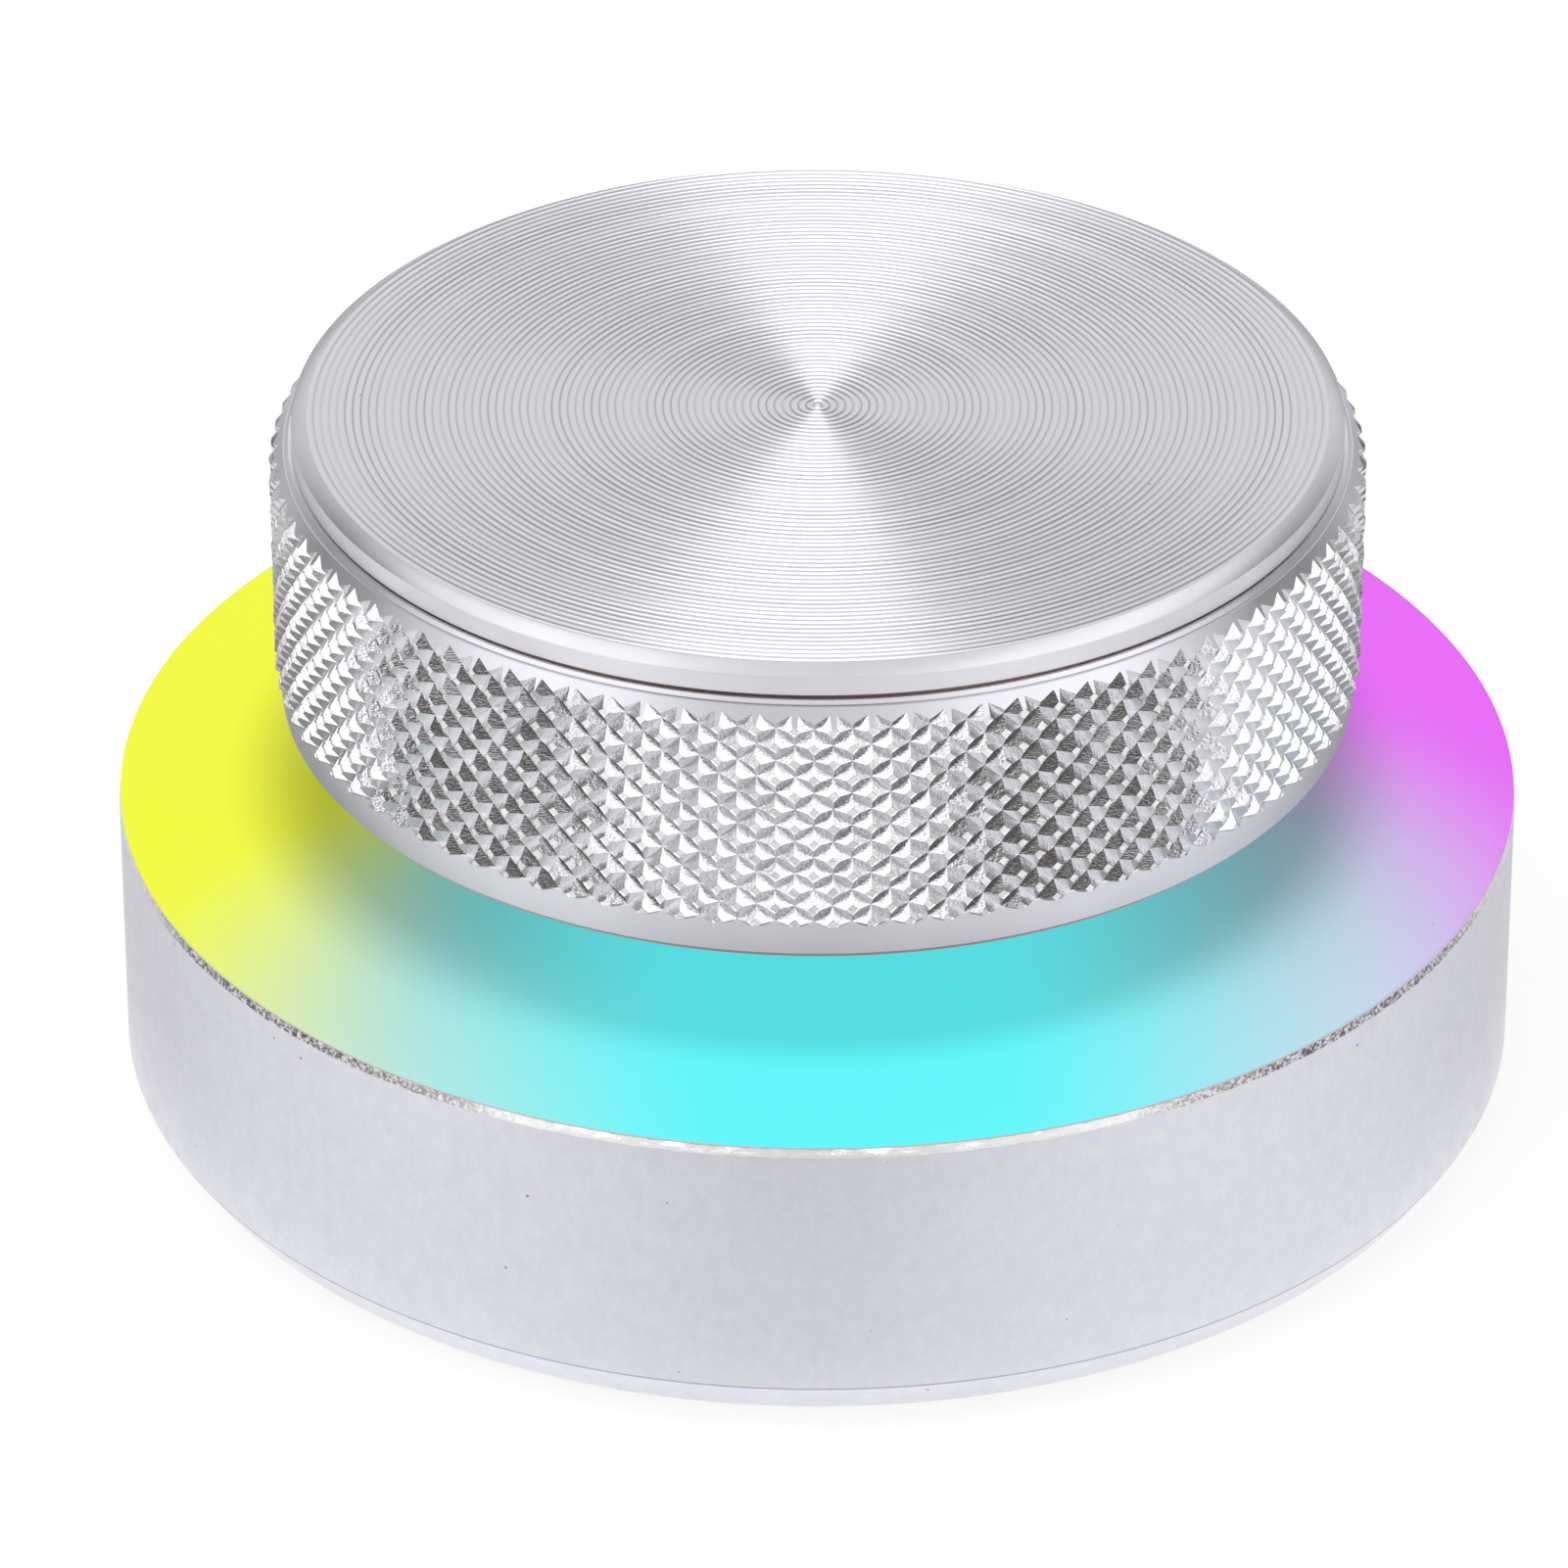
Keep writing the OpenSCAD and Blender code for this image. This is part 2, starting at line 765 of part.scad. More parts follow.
// A point of the knurl: crests and valley crossings alternate like a chessboard,
// and the first and last rows are cut back to the smooth band and shoulder
function knurl_point(column, row) =
    let (
        last_row = 2 * knurl_rows,
        crest = (column + row) % 2 == 0,
        end_row = row == 0 || row == last_row,
        crest_r = end_row ? band_r : knurl_crest_r,
        r = crest ? crest_r : knurl_valley_r,
        turn = column * 180 / knurl_count
    )
    [r * cos(turn), r * sin(turn), knurl_z + row * knurl_row_h / 2];

// A plain ring of points at one radius and height
function ring_points(r, z) =
    [for (column = [0 : 2 * knurl_count - 1])
        let (turn = column * 180 / knurl_count)
        [r * cos(turn), r * sin(turn), z]];

// Two triangles between two rings of points. Between knurl rows the cut runs
// from valley to valley, so each diamond keeps four flat faces.
function ring_cell(ring, next_ring, column, valley_cut) =
    let (
        count = 2 * knurl_count,
        next_column = (column + 1) % count,
        a = ring * count + column,
        b = ring * count + next_column,
        c = next_ring * count + next_column,
        d = next_ring * count + column
    )
    valley_cut ? [[a, d, b], [b, d, c]] : [[a, d, c], [a, c, b]];

// Knurled sleeve of the drum, with its smooth band, shoulder and inner lip
module knurl_ring() {
    knurl_ring_count = 2 * knurl_rows + 1;
    lower_rings = [
        [ring_bore_r, drum_bottom_z],
        [band_r - band_chamfer, drum_bottom_z],
        [band_r, drum_bottom_z + band_chamfer],
        [band_r, knurl_z - 0.12]
    ];
    upper_rings = [
        [shoulder_top_r, ring_top_z - 0.17],
        [ring_edge_r, ring_top_z],
        [ring_lip_r, ring_top_z],
        [ring_lip_r, core_seat_z],
        [ring_bore_r, core_seat_z]
    ];
    first_knurl_ring = len(lower_rings);
    ring_count = first_knurl_ring + knurl_ring_count + len(upper_rings);
    points = concat(
        [for (at = lower_rings) each ring_points(at[0], at[1])],
        [for (row = [0 : 2 * knurl_rows], column = [0 : 2 * knurl_count - 1]) knurl_point(column, row)],
        [for (at = upper_rings) each ring_points(at[0], at[1])]
    );
    faces = [
        for (ring = [0 : ring_count - 1], column = [0 : 2 * knurl_count - 1])
            let (
                in_knurl = ring >= first_knurl_ring && ring < first_knurl_ring + knurl_ring_count - 1,
                valley_cut = in_knurl && (column + ring - first_knurl_ring) % 2 == 0
            )
            each ring_cell(ring, (ring + 1) % ring_count, column, valley_cut)
    ];
    color([0.78, 0.79, 0.82])
        polyhedron(points = points, faces = faces, convexity = 8);
}

// Cap with its bevelled edge and the fine grooves left by facing it on a lathe
module knob_cap() {
    groove_pitch = cap_face_r / (cap_grooves + 0.5);
    relief_r = ring_lip_r + 2.4;
    face = [
        for (i = [0 : cap_grooves - 1], point = [[0, 0], [-0.5, -cap_groove_depth]])
            [cap_face_r - (i - point[0]) * groove_pitch, cap_top_z + point[1]]
    ];
    color([0.82, 0.82, 0.84])
        rotate_extrude()
            polygon(concat(
                [
                    [0, ring_top_z],
                    [relief_r, ring_top_z],
                    [relief_r, cap_underside_z],
                    [cap_r, cap_underside_z],
                    [cap_r, cap_edge_z]
                ],
                face,
                [[groove_pitch / 2, cap_top_z], [0, cap_top_z]]
            ));
}

base_shell();
light_plate();
bottom_plate();
foot_pad();
bottom_screws();
circuit_board();
board_screws();
rgb_leds();
controller_chip();
voltage_regulator();
clock_crystal();
chip_capacitors();
chip_resistors();
cable_header();
cable_grommet();
encoder_case();
encoder_bracket();
encoder_bushing();
encoder_pins();
detent_spring();
switch_dome();
encoder_washer();
encoder_nut();
encoder_rotor();
switch_plunger();
knob_shaft();
shaft_clip();
shaft_insert();
knob_core();
knurl_ring();
knob_cap();
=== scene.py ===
# A desktop volume control: a low turned base with a lit acrylic deck, and a diamond-knurled aluminium
# drum above it that turns without end and presses down to click.
import math
import random

import bmesh
import bpy
from mathutils import Matrix


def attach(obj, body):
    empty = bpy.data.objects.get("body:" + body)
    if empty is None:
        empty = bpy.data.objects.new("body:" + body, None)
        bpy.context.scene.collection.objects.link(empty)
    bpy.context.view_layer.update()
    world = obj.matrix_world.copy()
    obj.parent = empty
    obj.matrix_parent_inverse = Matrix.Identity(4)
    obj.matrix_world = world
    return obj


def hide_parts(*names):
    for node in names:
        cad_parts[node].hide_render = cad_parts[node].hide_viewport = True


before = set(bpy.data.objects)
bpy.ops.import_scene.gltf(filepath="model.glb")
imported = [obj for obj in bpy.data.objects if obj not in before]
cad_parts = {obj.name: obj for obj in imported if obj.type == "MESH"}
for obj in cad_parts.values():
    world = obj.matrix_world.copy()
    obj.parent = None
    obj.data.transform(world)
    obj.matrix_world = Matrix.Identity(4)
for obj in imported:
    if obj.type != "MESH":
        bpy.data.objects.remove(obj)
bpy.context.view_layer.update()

# ---- Camera ----
# The control is seen from the front and a little above, through a long lens.
# Its middle stands slightly right of the picture's middle.
picture_px = 1601
focal_px = 10250
sensor_mm = 36
camera_data = bpy.data.cameras.new("camera")
camera_data.sensor_width = sensor_mm
camera_data.lens = sensor_mm * focal_px / picture_px
camera = bpy.data.objects.new("camera", camera_data)
look_down_degrees = 30.97
look_left_degrees = 0.22
camera.location = (0, -0.3710, 0.2358)
camera.rotation_euler = (math.radians(90 - look_down_degrees), 0, math.radians(look_left_degrees))
bpy.context.scene.collection.objects.link(camera)
bpy.context.scene.camera = camera
bpy.context.scene.view_settings.view_transform = "Standard"

# ---- Studio ----
# A white table in a white room, with a large soft lamp at each side and a long one overhead.
# Bare metal mirrors those lamps and the grey room between them. Everything else is lit evenly.


def feed(tree, sockets, values):
    """Links each socket to its value, or sets it where the value is a plain one."""
    for socket, value in zip(sockets, values):
        if isinstance(value, bpy.types.NodeSocket):
            tree.links.new(value, socket)
        else:
            socket.default_value = value


def node(tree, kind, outlet=0, settings=None, **inputs):
    """Adds a shader node, sets or links its named inputs, and returns one of its outputs."""
    made = tree.nodes.new("ShaderNode" + kind)
    for name, value in (settings or {}).items():
        setattr(made, name, value)
    feed(tree, [made.inputs[name.replace("_", " ")] for name in inputs], inputs.values())
    return made.outputs[outlet]


def maths(tree, operation, *values):
    """Adds a Math node and returns its result."""
    made = tree.nodes.new("ShaderNodeMath")
    made.operation = operation
    feed(tree, made.inputs, values)
    return made.outputs[0]


def ease(tree, value, low, high, to_low=0.0, to_high=1.0):
    """Turns a value into a soft step from to_low to to_high."""
    return node(
        tree, "MapRange", settings={"interpolation_type": "SMOOTHSTEP"},
        Value=value, From_Min=low, From_Max=high, To_Min=to_low, To_Max=to_high,
    )


def blend_values(tree, factor, first, second):
    """Mixes two values."""
    made = tree.nodes.new("ShaderNodeMix")
    feed(tree, (made.inputs[0], made.inputs[2], made.inputs[3]), (factor, first, second))
    return made.outputs[0]


def mix_colour(tree, factor, first, second, blend="MIX"):
    """Mixes two colours."""
    made = tree.nodes.new("ShaderNodeMix")
    made.data_type = "RGBA"
    made.blend_type = blend
    feed(tree, (made.inputs[0], made.inputs[6], made.inputs[7]), (factor, first, second))
    return made.outputs[2]


def grey_ramp(tree, value, first, last, stops):
    """Turns a value between first and last into a grey by (value, brightness) stops."""
    made = tree.nodes.new("ShaderNodeValToRGB")
    made.color_ramp.interpolation = "EASE"
    span = last - first
    tree.links.new(maths(tree, "MULTIPLY_ADD", value, 1 / span, -first / span), made.inputs[0])
    elements = made.color_ramp.elements
    while len(elements) < len(stops):
        elements.new(0.5)
    for element, (place, brightness) in zip(elements, stops):
        element.position = (place - first) / span
        element.color = (brightness, brightness, brightness, 1)
    return made.outputs[0]


def bearing_from_front(tree, x, y):
    """The angle about the upright axis, in degrees: 0 at the front (-Y), and positive towards +X."""
    radians = maths(tree, "ARCTAN2", x, maths(tree, "MULTIPLY", y, -1))
    return maths(tree, "MULTIPLY", radians, math.degrees(1))


world = bpy.data.worlds.new("studio")
world.use_nodes = True
world.cycles.sampling_method = "NONE"
bpy.context.scene.world = world
sky = world.node_tree
sky.nodes.clear()
side, depth, rise = node(sky, "SeparateXYZ", Vector=node(sky, "TexCoord")).node.outputs
# What bare metal mirrors, as (bearing from the front in degrees, brightness): just above the table,
# a little higher, and overhead. A lamp stands at each side, and the room is dim between them.
horizon_room = [(-180, 0.55), (-126, 0.60), (-114, 0.12), (114, 0.12), (126, 0.60), (180, 0.55)]
low_room = [
    (-180, 0.56), (-150, 0.55), (-120, 0.15), (-105, 0.12), (-96, 0.45), (-80, 0.48), (-75, 0.95),
    (-38, 0.95), (-33, 0.07), (15, 0.07), (24, 0.95), (74, 0.95), (79, 0.45), (93, 0.42), (100, 0.10),
    (120, 0.15), (150, 0.55), (180, 0.56),
]
high_room = [
    (-180, 0.34), (-132, 0.33), (-122, 0.42), (-115, 0.95), (-50, 0.95), (-22, 0.55),
    (0, 0.59), (22, 0.58), (50, 0.95), (124, 0.95), (136, 0.31), (180, 0.32),
]
bearing = bearing_from_front(sky, side, depth)
horizon, low, high = [
    grey_ramp(sky, bearing, -180, 180, stops) for stops in (horizon_room, low_room, high_room)
]
# Each of the three fades into the next between two heights, where 0 is the horizon and 1 straight up
horizon_to_low = (0.04, 0.15)
low_to_high = (0.50, 0.72)
room = blend_values(sky, ease(sky, rise, *horizon_to_low), horizon, low)
room = blend_values(sky, ease(sky, rise, *low_to_high), room, high)
# A long narrow lamp runs from overhead to the back. Its sides and its front end are soft.
strip_strength = 1.25
strip_offset = 0.026
strip_sides = (0.155, 0.08)
strip_rise = (0.50, 0.65)
strip_depth = (0.0, 0.15)
across = maths(sky, "ABSOLUTE", maths(sky, "ADD", maths(sky, "DIVIDE", side, rise), strip_offset))
strip = maths(sky, "MULTIPLY", ease(sky, across, *strip_sides), ease(sky, rise, *strip_rise))
strip = maths(sky, "MULTIPLY", strip, ease(sky, depth, *strip_depth))
room = blend_values(sky, strip, room, strip_strength)
# The ceiling right above is plain grey
ceiling_grey = 0.54
ceiling_left = (-0.29, -0.22)
ceiling_right = (0.46, 0.38)
ceiling_rise = (0.88, 0.94)
ceiling = maths(sky, "MULTIPLY", ease(sky, side, *ceiling_left), ease(sky, side, *ceiling_right))
ceiling = maths(sky, "MULTIPLY", ceiling, ease(sky, rise, *ceiling_rise))
room = blend_values(sky, ceiling, room, ceiling_grey)
lamp_strength = 1.45
table_glow = 0.95
mirrored = maths(sky, "MULTIPLY", room, lamp_strength)
mirrored = blend_values(sky, ease(sky, rise, -0.06, 0.0), table_glow, mirrored)
rays = sky.nodes.new("ShaderNodeLightPath")
even_light = 0.70
for_diffuse = maths(sky, "MULTIPLY", rays.outputs["Is Diffuse Ray"], even_light)
seen = rays.outputs["Is Camera Ray"]
to_metal = maths(sky, "MAXIMUM", rays.outputs["Is Glossy Ray"], rays.outputs["Is Transmission Ray"])
for_metal = maths(sky, "MULTIPLY", to_metal, mirrored)
total = maths(sky, "ADD", maths(sky, "MAXIMUM", for_diffuse, seen), for_metal)
# The dim parts of the room are a little warmer than the lamps
dim_tint = (1, 0.90, 0.85, 1)
lamp_tint = (1, 1, 1, 1)
tint = mix_colour(sky, ease(sky, total, 0.1, 0.5), dim_tint, lamp_tint)
background = node(sky, "Background", Color=tint, Strength=total)
sky.links.new(background, sky.nodes.new("ShaderNodeOutputWorld").inputs["Surface"])

key_data = bpy.data.lights.new("soft_lamp", "AREA")
key_data.shape = "DISK"
key_data.size = 0.7
key_data.energy = 2.2
key = bpy.data.objects.new("soft_lamp", key_data)
key.location = (-0.25, -0.30, 0.75)
key.rotation_euler = (math.radians(22), 0, math.radians(-40))
key.visible_glossy = False
bpy.context.scene.collection.objects.link(key)

floor_data = bpy.data.meshes.new("table")
floor_half_size = 3
floor_drop = 0.00002
floor_work = bmesh.new()
bmesh.ops.create_grid(floor_work, x_segments=1, y_segments=1, size=floor_half_size)
bmesh.ops.translate(floor_work, verts=floor_work.verts, vec=(0, 0, -floor_drop))
floor_work.to_mesh(floor_data)
floor_work.free()
floor = bpy.data.objects.new("table", floor_data)
bpy.context.scene.collection.objects.link(floor)
table = bpy.data.materials.new("white_table")
table.use_nodes = True
tree = table.node_tree
tree.nodes.clear()
paths = tree.nodes.new("ShaderNodeLightPath")
mirror_ray = maths(tree, "MAXIMUM", paths.outputs["Is Glossy Ray"], paths.outputs["Is Transmission Ray"])
# What metal mirrors of the table, from the foot of the control outwards. It is a little darker
# straight in front, where the camera stands, and at the back. Further out it brightens under the
# side lamps, then darkens between them, and past that it is dim.
table_place = node(tree, "TexCoord", outlet="Object")
table_x, table_y, _ = node(tree, "SeparateXYZ", Vector=table_place).node.outputs
table_bearing = maths(tree, "ABSOLUTE", bearing_from_front(tree, table_x, table_y))
table_reach = node(
    tree, "VectorMath", outlet="Value", settings={"operation": "LENGTH"}, Vector=table_place)
table_at_foot = 0.98
table_nearby_strength = 0.81
# Two soft steps, as (first bearing, last bearing, brightness at the first, brightness at the last)
nearby_front = (0.0, 31.5, 0.84, 1.0)
nearby_back = (51.6, 91.7, 1.0, 0.80)
table_nearby = maths(
    tree, "MULTIPLY", ease(tree, table_bearing, *nearby_front), ease(tree, table_bearing, *nearby_back))
table_lit = [(0, 0.50), (28, 0.68), (42, 0.95), (85, 0.95), (110, 0.62), (180, 0.62)]
table_far = [(0, 1.0), (44, 1.0), (54, 0.12), (122, 0.12), (140, 0.60), (180, 0.60)]
table_far_strength = 1.3
table_beyond = 0.2
lit_glow = grey_ramp(tree, table_bearing, 0, 180, table_lit)
far_glow = grey_ramp(tree, table_bearing, 0, 180, table_far)
# Each ring fades in between two distances from the axis, in metres
mirrored_table = table_at_foot
for start, end, brightness in (
    (0.0305, 0.035, maths(tree, "MULTIPLY", table_nearby, table_nearby_strength)),
    (0.050, 0.057, lit_glow),
    (0.075, 0.10, maths(tree, "MULTIPLY", far_glow, table_far_strength)),
    (0.120, 0.150, table_beyond),
):
    mirrored_table = blend_values(tree, ease(tree, table_reach, start, end), mirrored_table, brightness)
table_seen = 0.83
glow = maths(
    tree, "ADD",
    maths(tree, "MULTIPLY", paths.outputs["Is Camera Ray"], table_seen),
    maths(tree, "MULTIPLY", mirror_ray, mirrored_table),
)
matt = node(tree, "BsdfDiffuse", Color=(0.20, 0.20, 0.20, 1))
lit = node(tree, "Emission", Color=(1, 1, 1, 1), Strength=glow)
both = tree.nodes.new("ShaderNodeAddShader")
tree.links.new(matt, both.inputs[0])
tree.links.new(lit, both.inputs[1])
tree.links.new(both.outputs[0], tree.nodes.new("ShaderNodeOutputMaterial").inputs["Surface"])
floor_data.materials.append(table)

# ---- Base shell ----
# A turned and bored aluminium cup, bead-blasted and clear anodised. Its rim is bevelled by hand
# on the lathe, which leaves a slightly ragged edge, painted bright at the front and darker further round. It
# stands clear of the table on its pad.
mm = 0.001


def srgb(red, green, blue):
    """A colour as a shader takes it, from the 0 to 255 values that a screen shows."""
    channels = [v / 255 for v in (red, green, blue)]
    return tuple(v / 12.92 if v <= 0.04045 else ((v + 0.055) / 1.055) ** 2.4 for v in channels) + (1,)


def finish_mesh(name, work, sharp_degrees, *materials):
    """Makes a bmesh an object in the scene, smooth but for its sharp edges."""
    data = bpy.data.meshes.new(name)
    work.to_mesh(data)
    work.free()
    for material in materials:
        data.materials.append(material)
    data.shade_smooth()
    data.set_sharp_from_angle(angle=math.radians(sharp_degrees))
    made = bpy.data.objects.new(name, data)
    bpy.context.scene.collection.objects.link(made)
    return made


def turned(outline, steps):
    """Spins a closed outline of (radius, height) points in millimetres about the upright axis."""
    work = bmesh.new()
    points = [work.verts.new((radius * mm, 0, height * mm)) for radius, height in outline]
    lines = [work.edges.new(pair) for pair in zip(points, points[1:] + points[:1])]
    bmesh.ops.spin(
        work, geom=points + lines, cent=(0, 0, 0), axis=(0, 0, 1),
        angle=math.tau, steps=steps, use_merge=True,
    )
    bmesh.ops.remove_doubles(work, verts=work.verts, dist=0.0005 * mm)
    bmesh.ops.recalc_face_normals(work, faces=work.faces)
    return work


def boolean(piece, tool, operation):
    """Cuts or joins a piece with a second solid, which is used up."""
    modifier = piece.modifiers.new(operation.lower(), "BOOLEAN")
    modifier.operation = operation
    modifier.solver = "MANIFOLD"
    modifier.material_mode = "TRANSFER"
    modifier.object = tool
    shaped = bpy.data.meshes.new_from_object(
        piece.evaluated_get(bpy.context.evaluated_depsgraph_get()))
    piece.modifiers.clear()
    piece.data = shaped
    bpy.data.objects.remove(tool)


def new_material(name):
    """A material with a Principled shader: its tree, its shader and the Object coordinates."""
    material = bpy.data.materials.new(name)
    material.use_nodes = True
    tree = material.node_tree
    return material, tree, tree.nodes["Principled BSDF"], node(tree, "TexCoord", outlet="Object")


def set_values(shader, **values):
    """Sets named inputs of a shader to plain values."""
    for name, value in values.items():
        shader.inputs[name.replace("_", " ")].default_value = value


def stretched(tree, place, *factors):
    """Coordinates scaled axis by axis: a pattern is drawn out along an axis with a small factor."""
    scaled = node(tree, "VectorMath", settings={"operation": "MULTIPLY"}, Vector=place)
    scaled.node.inputs[1].default_value = factors
    return scaled


def axis_reach(tree, place):
    """The distance from the upright axis."""
    return node(
        tree, "VectorMath", outlet="Value", settings={"operation": "LENGTH"},
        Vector=stretched(tree, place, 1, 1, 0))


def noise(tree, place, scale, detail=2.0, roughness=0.5):
    """Noise whose grains measure about 1 / scale metres."""
    return node(tree, "TexNoise", Vector=place, Scale=scale, Detail=detail, Roughness=roughness)


def specks(tree, place, spacing, size):
    """Small round marks: 1 on a speck and 0 off it, with spacing and size in metres."""
    cells = tree.nodes.new("ShaderNodeTexVoronoi")
    cells.inputs["Scale"].default_value = 1 / spacing
    tree.links.new(place, cells.inputs["Vector"])
    return ease(tree, cells.outputs["Distance"], size / spacing, 0.4 * size / spacing)


def bump(tree, shader, height, depth, normal=None):
    """Raises a surface by a height from 0 to 1, whose full depth is in metres."""
    made = tree.nodes.new("ShaderNodeBump")
    made.inputs["Distance"].default_value = depth
    tree.links.new(height, made.inputs["Height"])
    if normal is not None:
        tree.links.new(normal, made.inputs["Normal"])
    tree.links.new(made.outputs[0], shader.inputs["Normal"])
    return made.outputs[0]


blasted, tree, shader, place = new_material("blasted_aluminium")
tone = noise(tree, place, 60)
colour = mix_colour(tree, tone, srgb(222, 223, 230), srgb(229, 230, 237))
mottling = ease(tree, noise(tree, stretched(tree, place, 1, 1, 0.65), 2200, 4, 0.7), 0.3, 0.7)
colour = mix_colour(tree, mottling, colour, mix_colour(tree, 0.05, colour, (0, 0, 0, 1)))
dark_specks = specks(tree, place, 1.9 * mm, 0.10 * mm)
colour = mix_colour(tree, dark_specks, colour, srgb(150, 150, 156))
tree.links.new(colour, shader.inputs["Base Color"])
set_values(shader, Metallic=1.0)
tree.links.new(ease(tree, noise(tree, place, 900), 0.2, 0.8, 0.36, 0.46), shader.inputs["Roughness"])
bump(tree, shader, noise(tree, place, 9000, 3), 0.012 * mm)

# The crumbly flecks are the edge's own texture. That the rim is near white at the front and darker further
# round, most between about 30 and 60 degrees, is painted highlight and painted shade
rim_glint_and_shade, tree, shader, place = new_material("painted_rim_glint_and_shade")
rim_x, rim_y, _ = node(tree, "SeparateXYZ", Vector=place).node.outputs
rim_bearing = maths(tree, "ABSOLUTE", bearing_from_front(tree, rim_x, rim_y))
rim_shade_by_bearing = grey_ramp(
    tree, rim_bearing, 0, 180, [(0, 0), (22, 0.05), (31, 0.75), (42, 1), (58, 1), (72, 0.45), (180, 0.45)])
crumbs = ease(tree, noise(tree, place, 5500, 3, 0.6), 0.38, 0.64)
shaded_crumbly_rim = mix_colour(tree, crumbs, srgb(94, 90, 92), srgb(206, 205, 207))
tree.links.new(mix_colour(tree, rim_shade_by_bearing, srgb(250, 249, 249), shaded_crumbly_rim), shader.inputs["Base Color"])
set_values(shader, Metallic=1.0, Roughness=0.12)
bump(tree, shader, noise(tree, place, 5000, 3), 0.008 * mm)

# The foot groove's faces get a darker grey: painted shade in the groove
groove_shade, tree, shader, place = new_material("painted_groove_shade")
set_values(shader, Base_Color=srgb(186, 186, 192), Metallic=1.0, Roughness=0.5)
bump(tree, shader, noise(tree, place, 4000), 0.01 * mm)

base_r = 30
base_inner_r = 27.6
base_foot_z = 0.5
foot_band_top_z = 2.1
foot_band_r = 29
foot_chamfer = 0.14
foot_groove_depth = 0.05
foot_groove_bottom_z = foot_band_top_z - 0.05
foot_groove_top_z = foot_band_top_z + 0.03
wall_bottom_z = foot_band_top_z + 0.07
wall_middle_z = 8
rim_r = 29.94
bevel_foot_z = 13.44
bevel_middle_z = 13.6
bevel_top_z = 13.84
deck_pocket_r = 29.42
deck_ledge_z = 11
base_outline = [
    (base_inner_r, base_foot_z), (foot_band_r - foot_chamfer, base_foot_z),
    (foot_band_r, base_foot_z + foot_chamfer + 0.02),
    (base_r - foot_groove_depth - 0.01, foot_groove_bottom_z),
    (base_r - foot_groove_depth, foot_groove_top_z), (base_r, wall_bottom_z), (base_r, wall_middle_z),
    (base_r, bevel_foot_z - 0.1), (base_r, bevel_foot_z), (base_r - 0.03, bevel_middle_z),
    (rim_r, bevel_top_z), (deck_pocket_r, bevel_top_z), (deck_pocket_r, deck_ledge_z),
    (base_inner_r, deck_ledge_z),
]
base_work = turned(base_outline, 720)
for face in base_work.faces:
    middle = face.calc_center_median() / mm
    if middle.z > bevel_foot_z and middle.xy.length > rim_r - 0.05:
        face.material_index = 1
    if foot_groove_bottom_z < middle.z < foot_groove_top_z and middle.xy.length > base_r - 0.1:
        face.material_index = 2
# The file has left the bevel uneven all the way round
random.seed(4)
height_scatter = 0.016
reach_scatter = 0.010
for corner in base_work.verts:
    reach = corner.co.xy.length / mm
    if corner.co.z / mm > bevel_foot_z - 0.05 and reach > rim_r - 0.05:
        corner.co.z = min(corner.co.z + random.gauss(0, height_scatter) * mm, bevel_top_z * mm)
        reach_new = min(reach + random.gauss(0, reach_scatter), base_r)
        corner.co.x *= reach_new / reach
        corner.co.y *= reach_new / reach
base_shell = finish_mesh("base_cup", base_work, 25, blasted, rim_glint_and_shade, groove_shade)


def rod(name, radius, length, segments, material, quarter_turn=False):
    """A round rod in millimetres about the origin: upright, or along Y after a quarter turn about X."""
    work = bmesh.new()
    bmesh.ops.create_cone(
        work, cap_ends=True, segments=segments, radius1=radius * mm, radius2=radius * mm,
        depth=length * mm,
    )
    if quarter_turn:
        matrix = Matrix.Rotation(math.pi / 2, 3, "X")
        bmesh.ops.rotate(work, verts=work.verts, cent=(0, 0, 0), matrix=matrix)
    return finish_mesh(name, work, 30, material)


# Six bosses inside the wall: three take the bottom plate's screws and three the board's
boss_ring_r = 25.7
boss_r = 2.3
boss_top_z = deck_ledge_z - 0.02
plate_boss_bottom_z = 1.9
board_boss_bottom_z = 4.5
for turn in range(0, 360, 60):
    boss_bottom_z = plate_boss_bottom_z if turn % 120 == 0 else board_boss_bottom_z
    boss = rod("boss", boss_r, boss_top_z - boss_bottom_z, 48, blasted)
    angle = math.radians(turn)
    boss.data.transform(Matrix.Translation((
        boss_ring_r * math.cos(angle) * mm, boss_ring_r * math.sin(angle) * mm,
        (boss_top_z + boss_bottom_z) / 2 * mm,
    )))
    boolean(base_shell, boss, "UNION")

# The cable's inlet: a stepped bore through the back wall, as (radius, start, end) along Y
inlet_z = 7.6
for bore_r, bore_start, bore_end in ((2.55, 25, 32), (3.1, 28.8, 32)):
    bore = rod("bore", bore_r, bore_end - bore_start, 64, blasted, quarter_turn=True)
    bore.data.transform(Matrix.Translation((0, (bore_start + bore_end) / 2 * mm, inlet_z * mm)))
    boolean(base_shell, bore, "DIFFERENCE")
base_shell.data.set_sharp_from_angle(angle=math.radians(25))
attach(base_shell, "base")
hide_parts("base_shell")

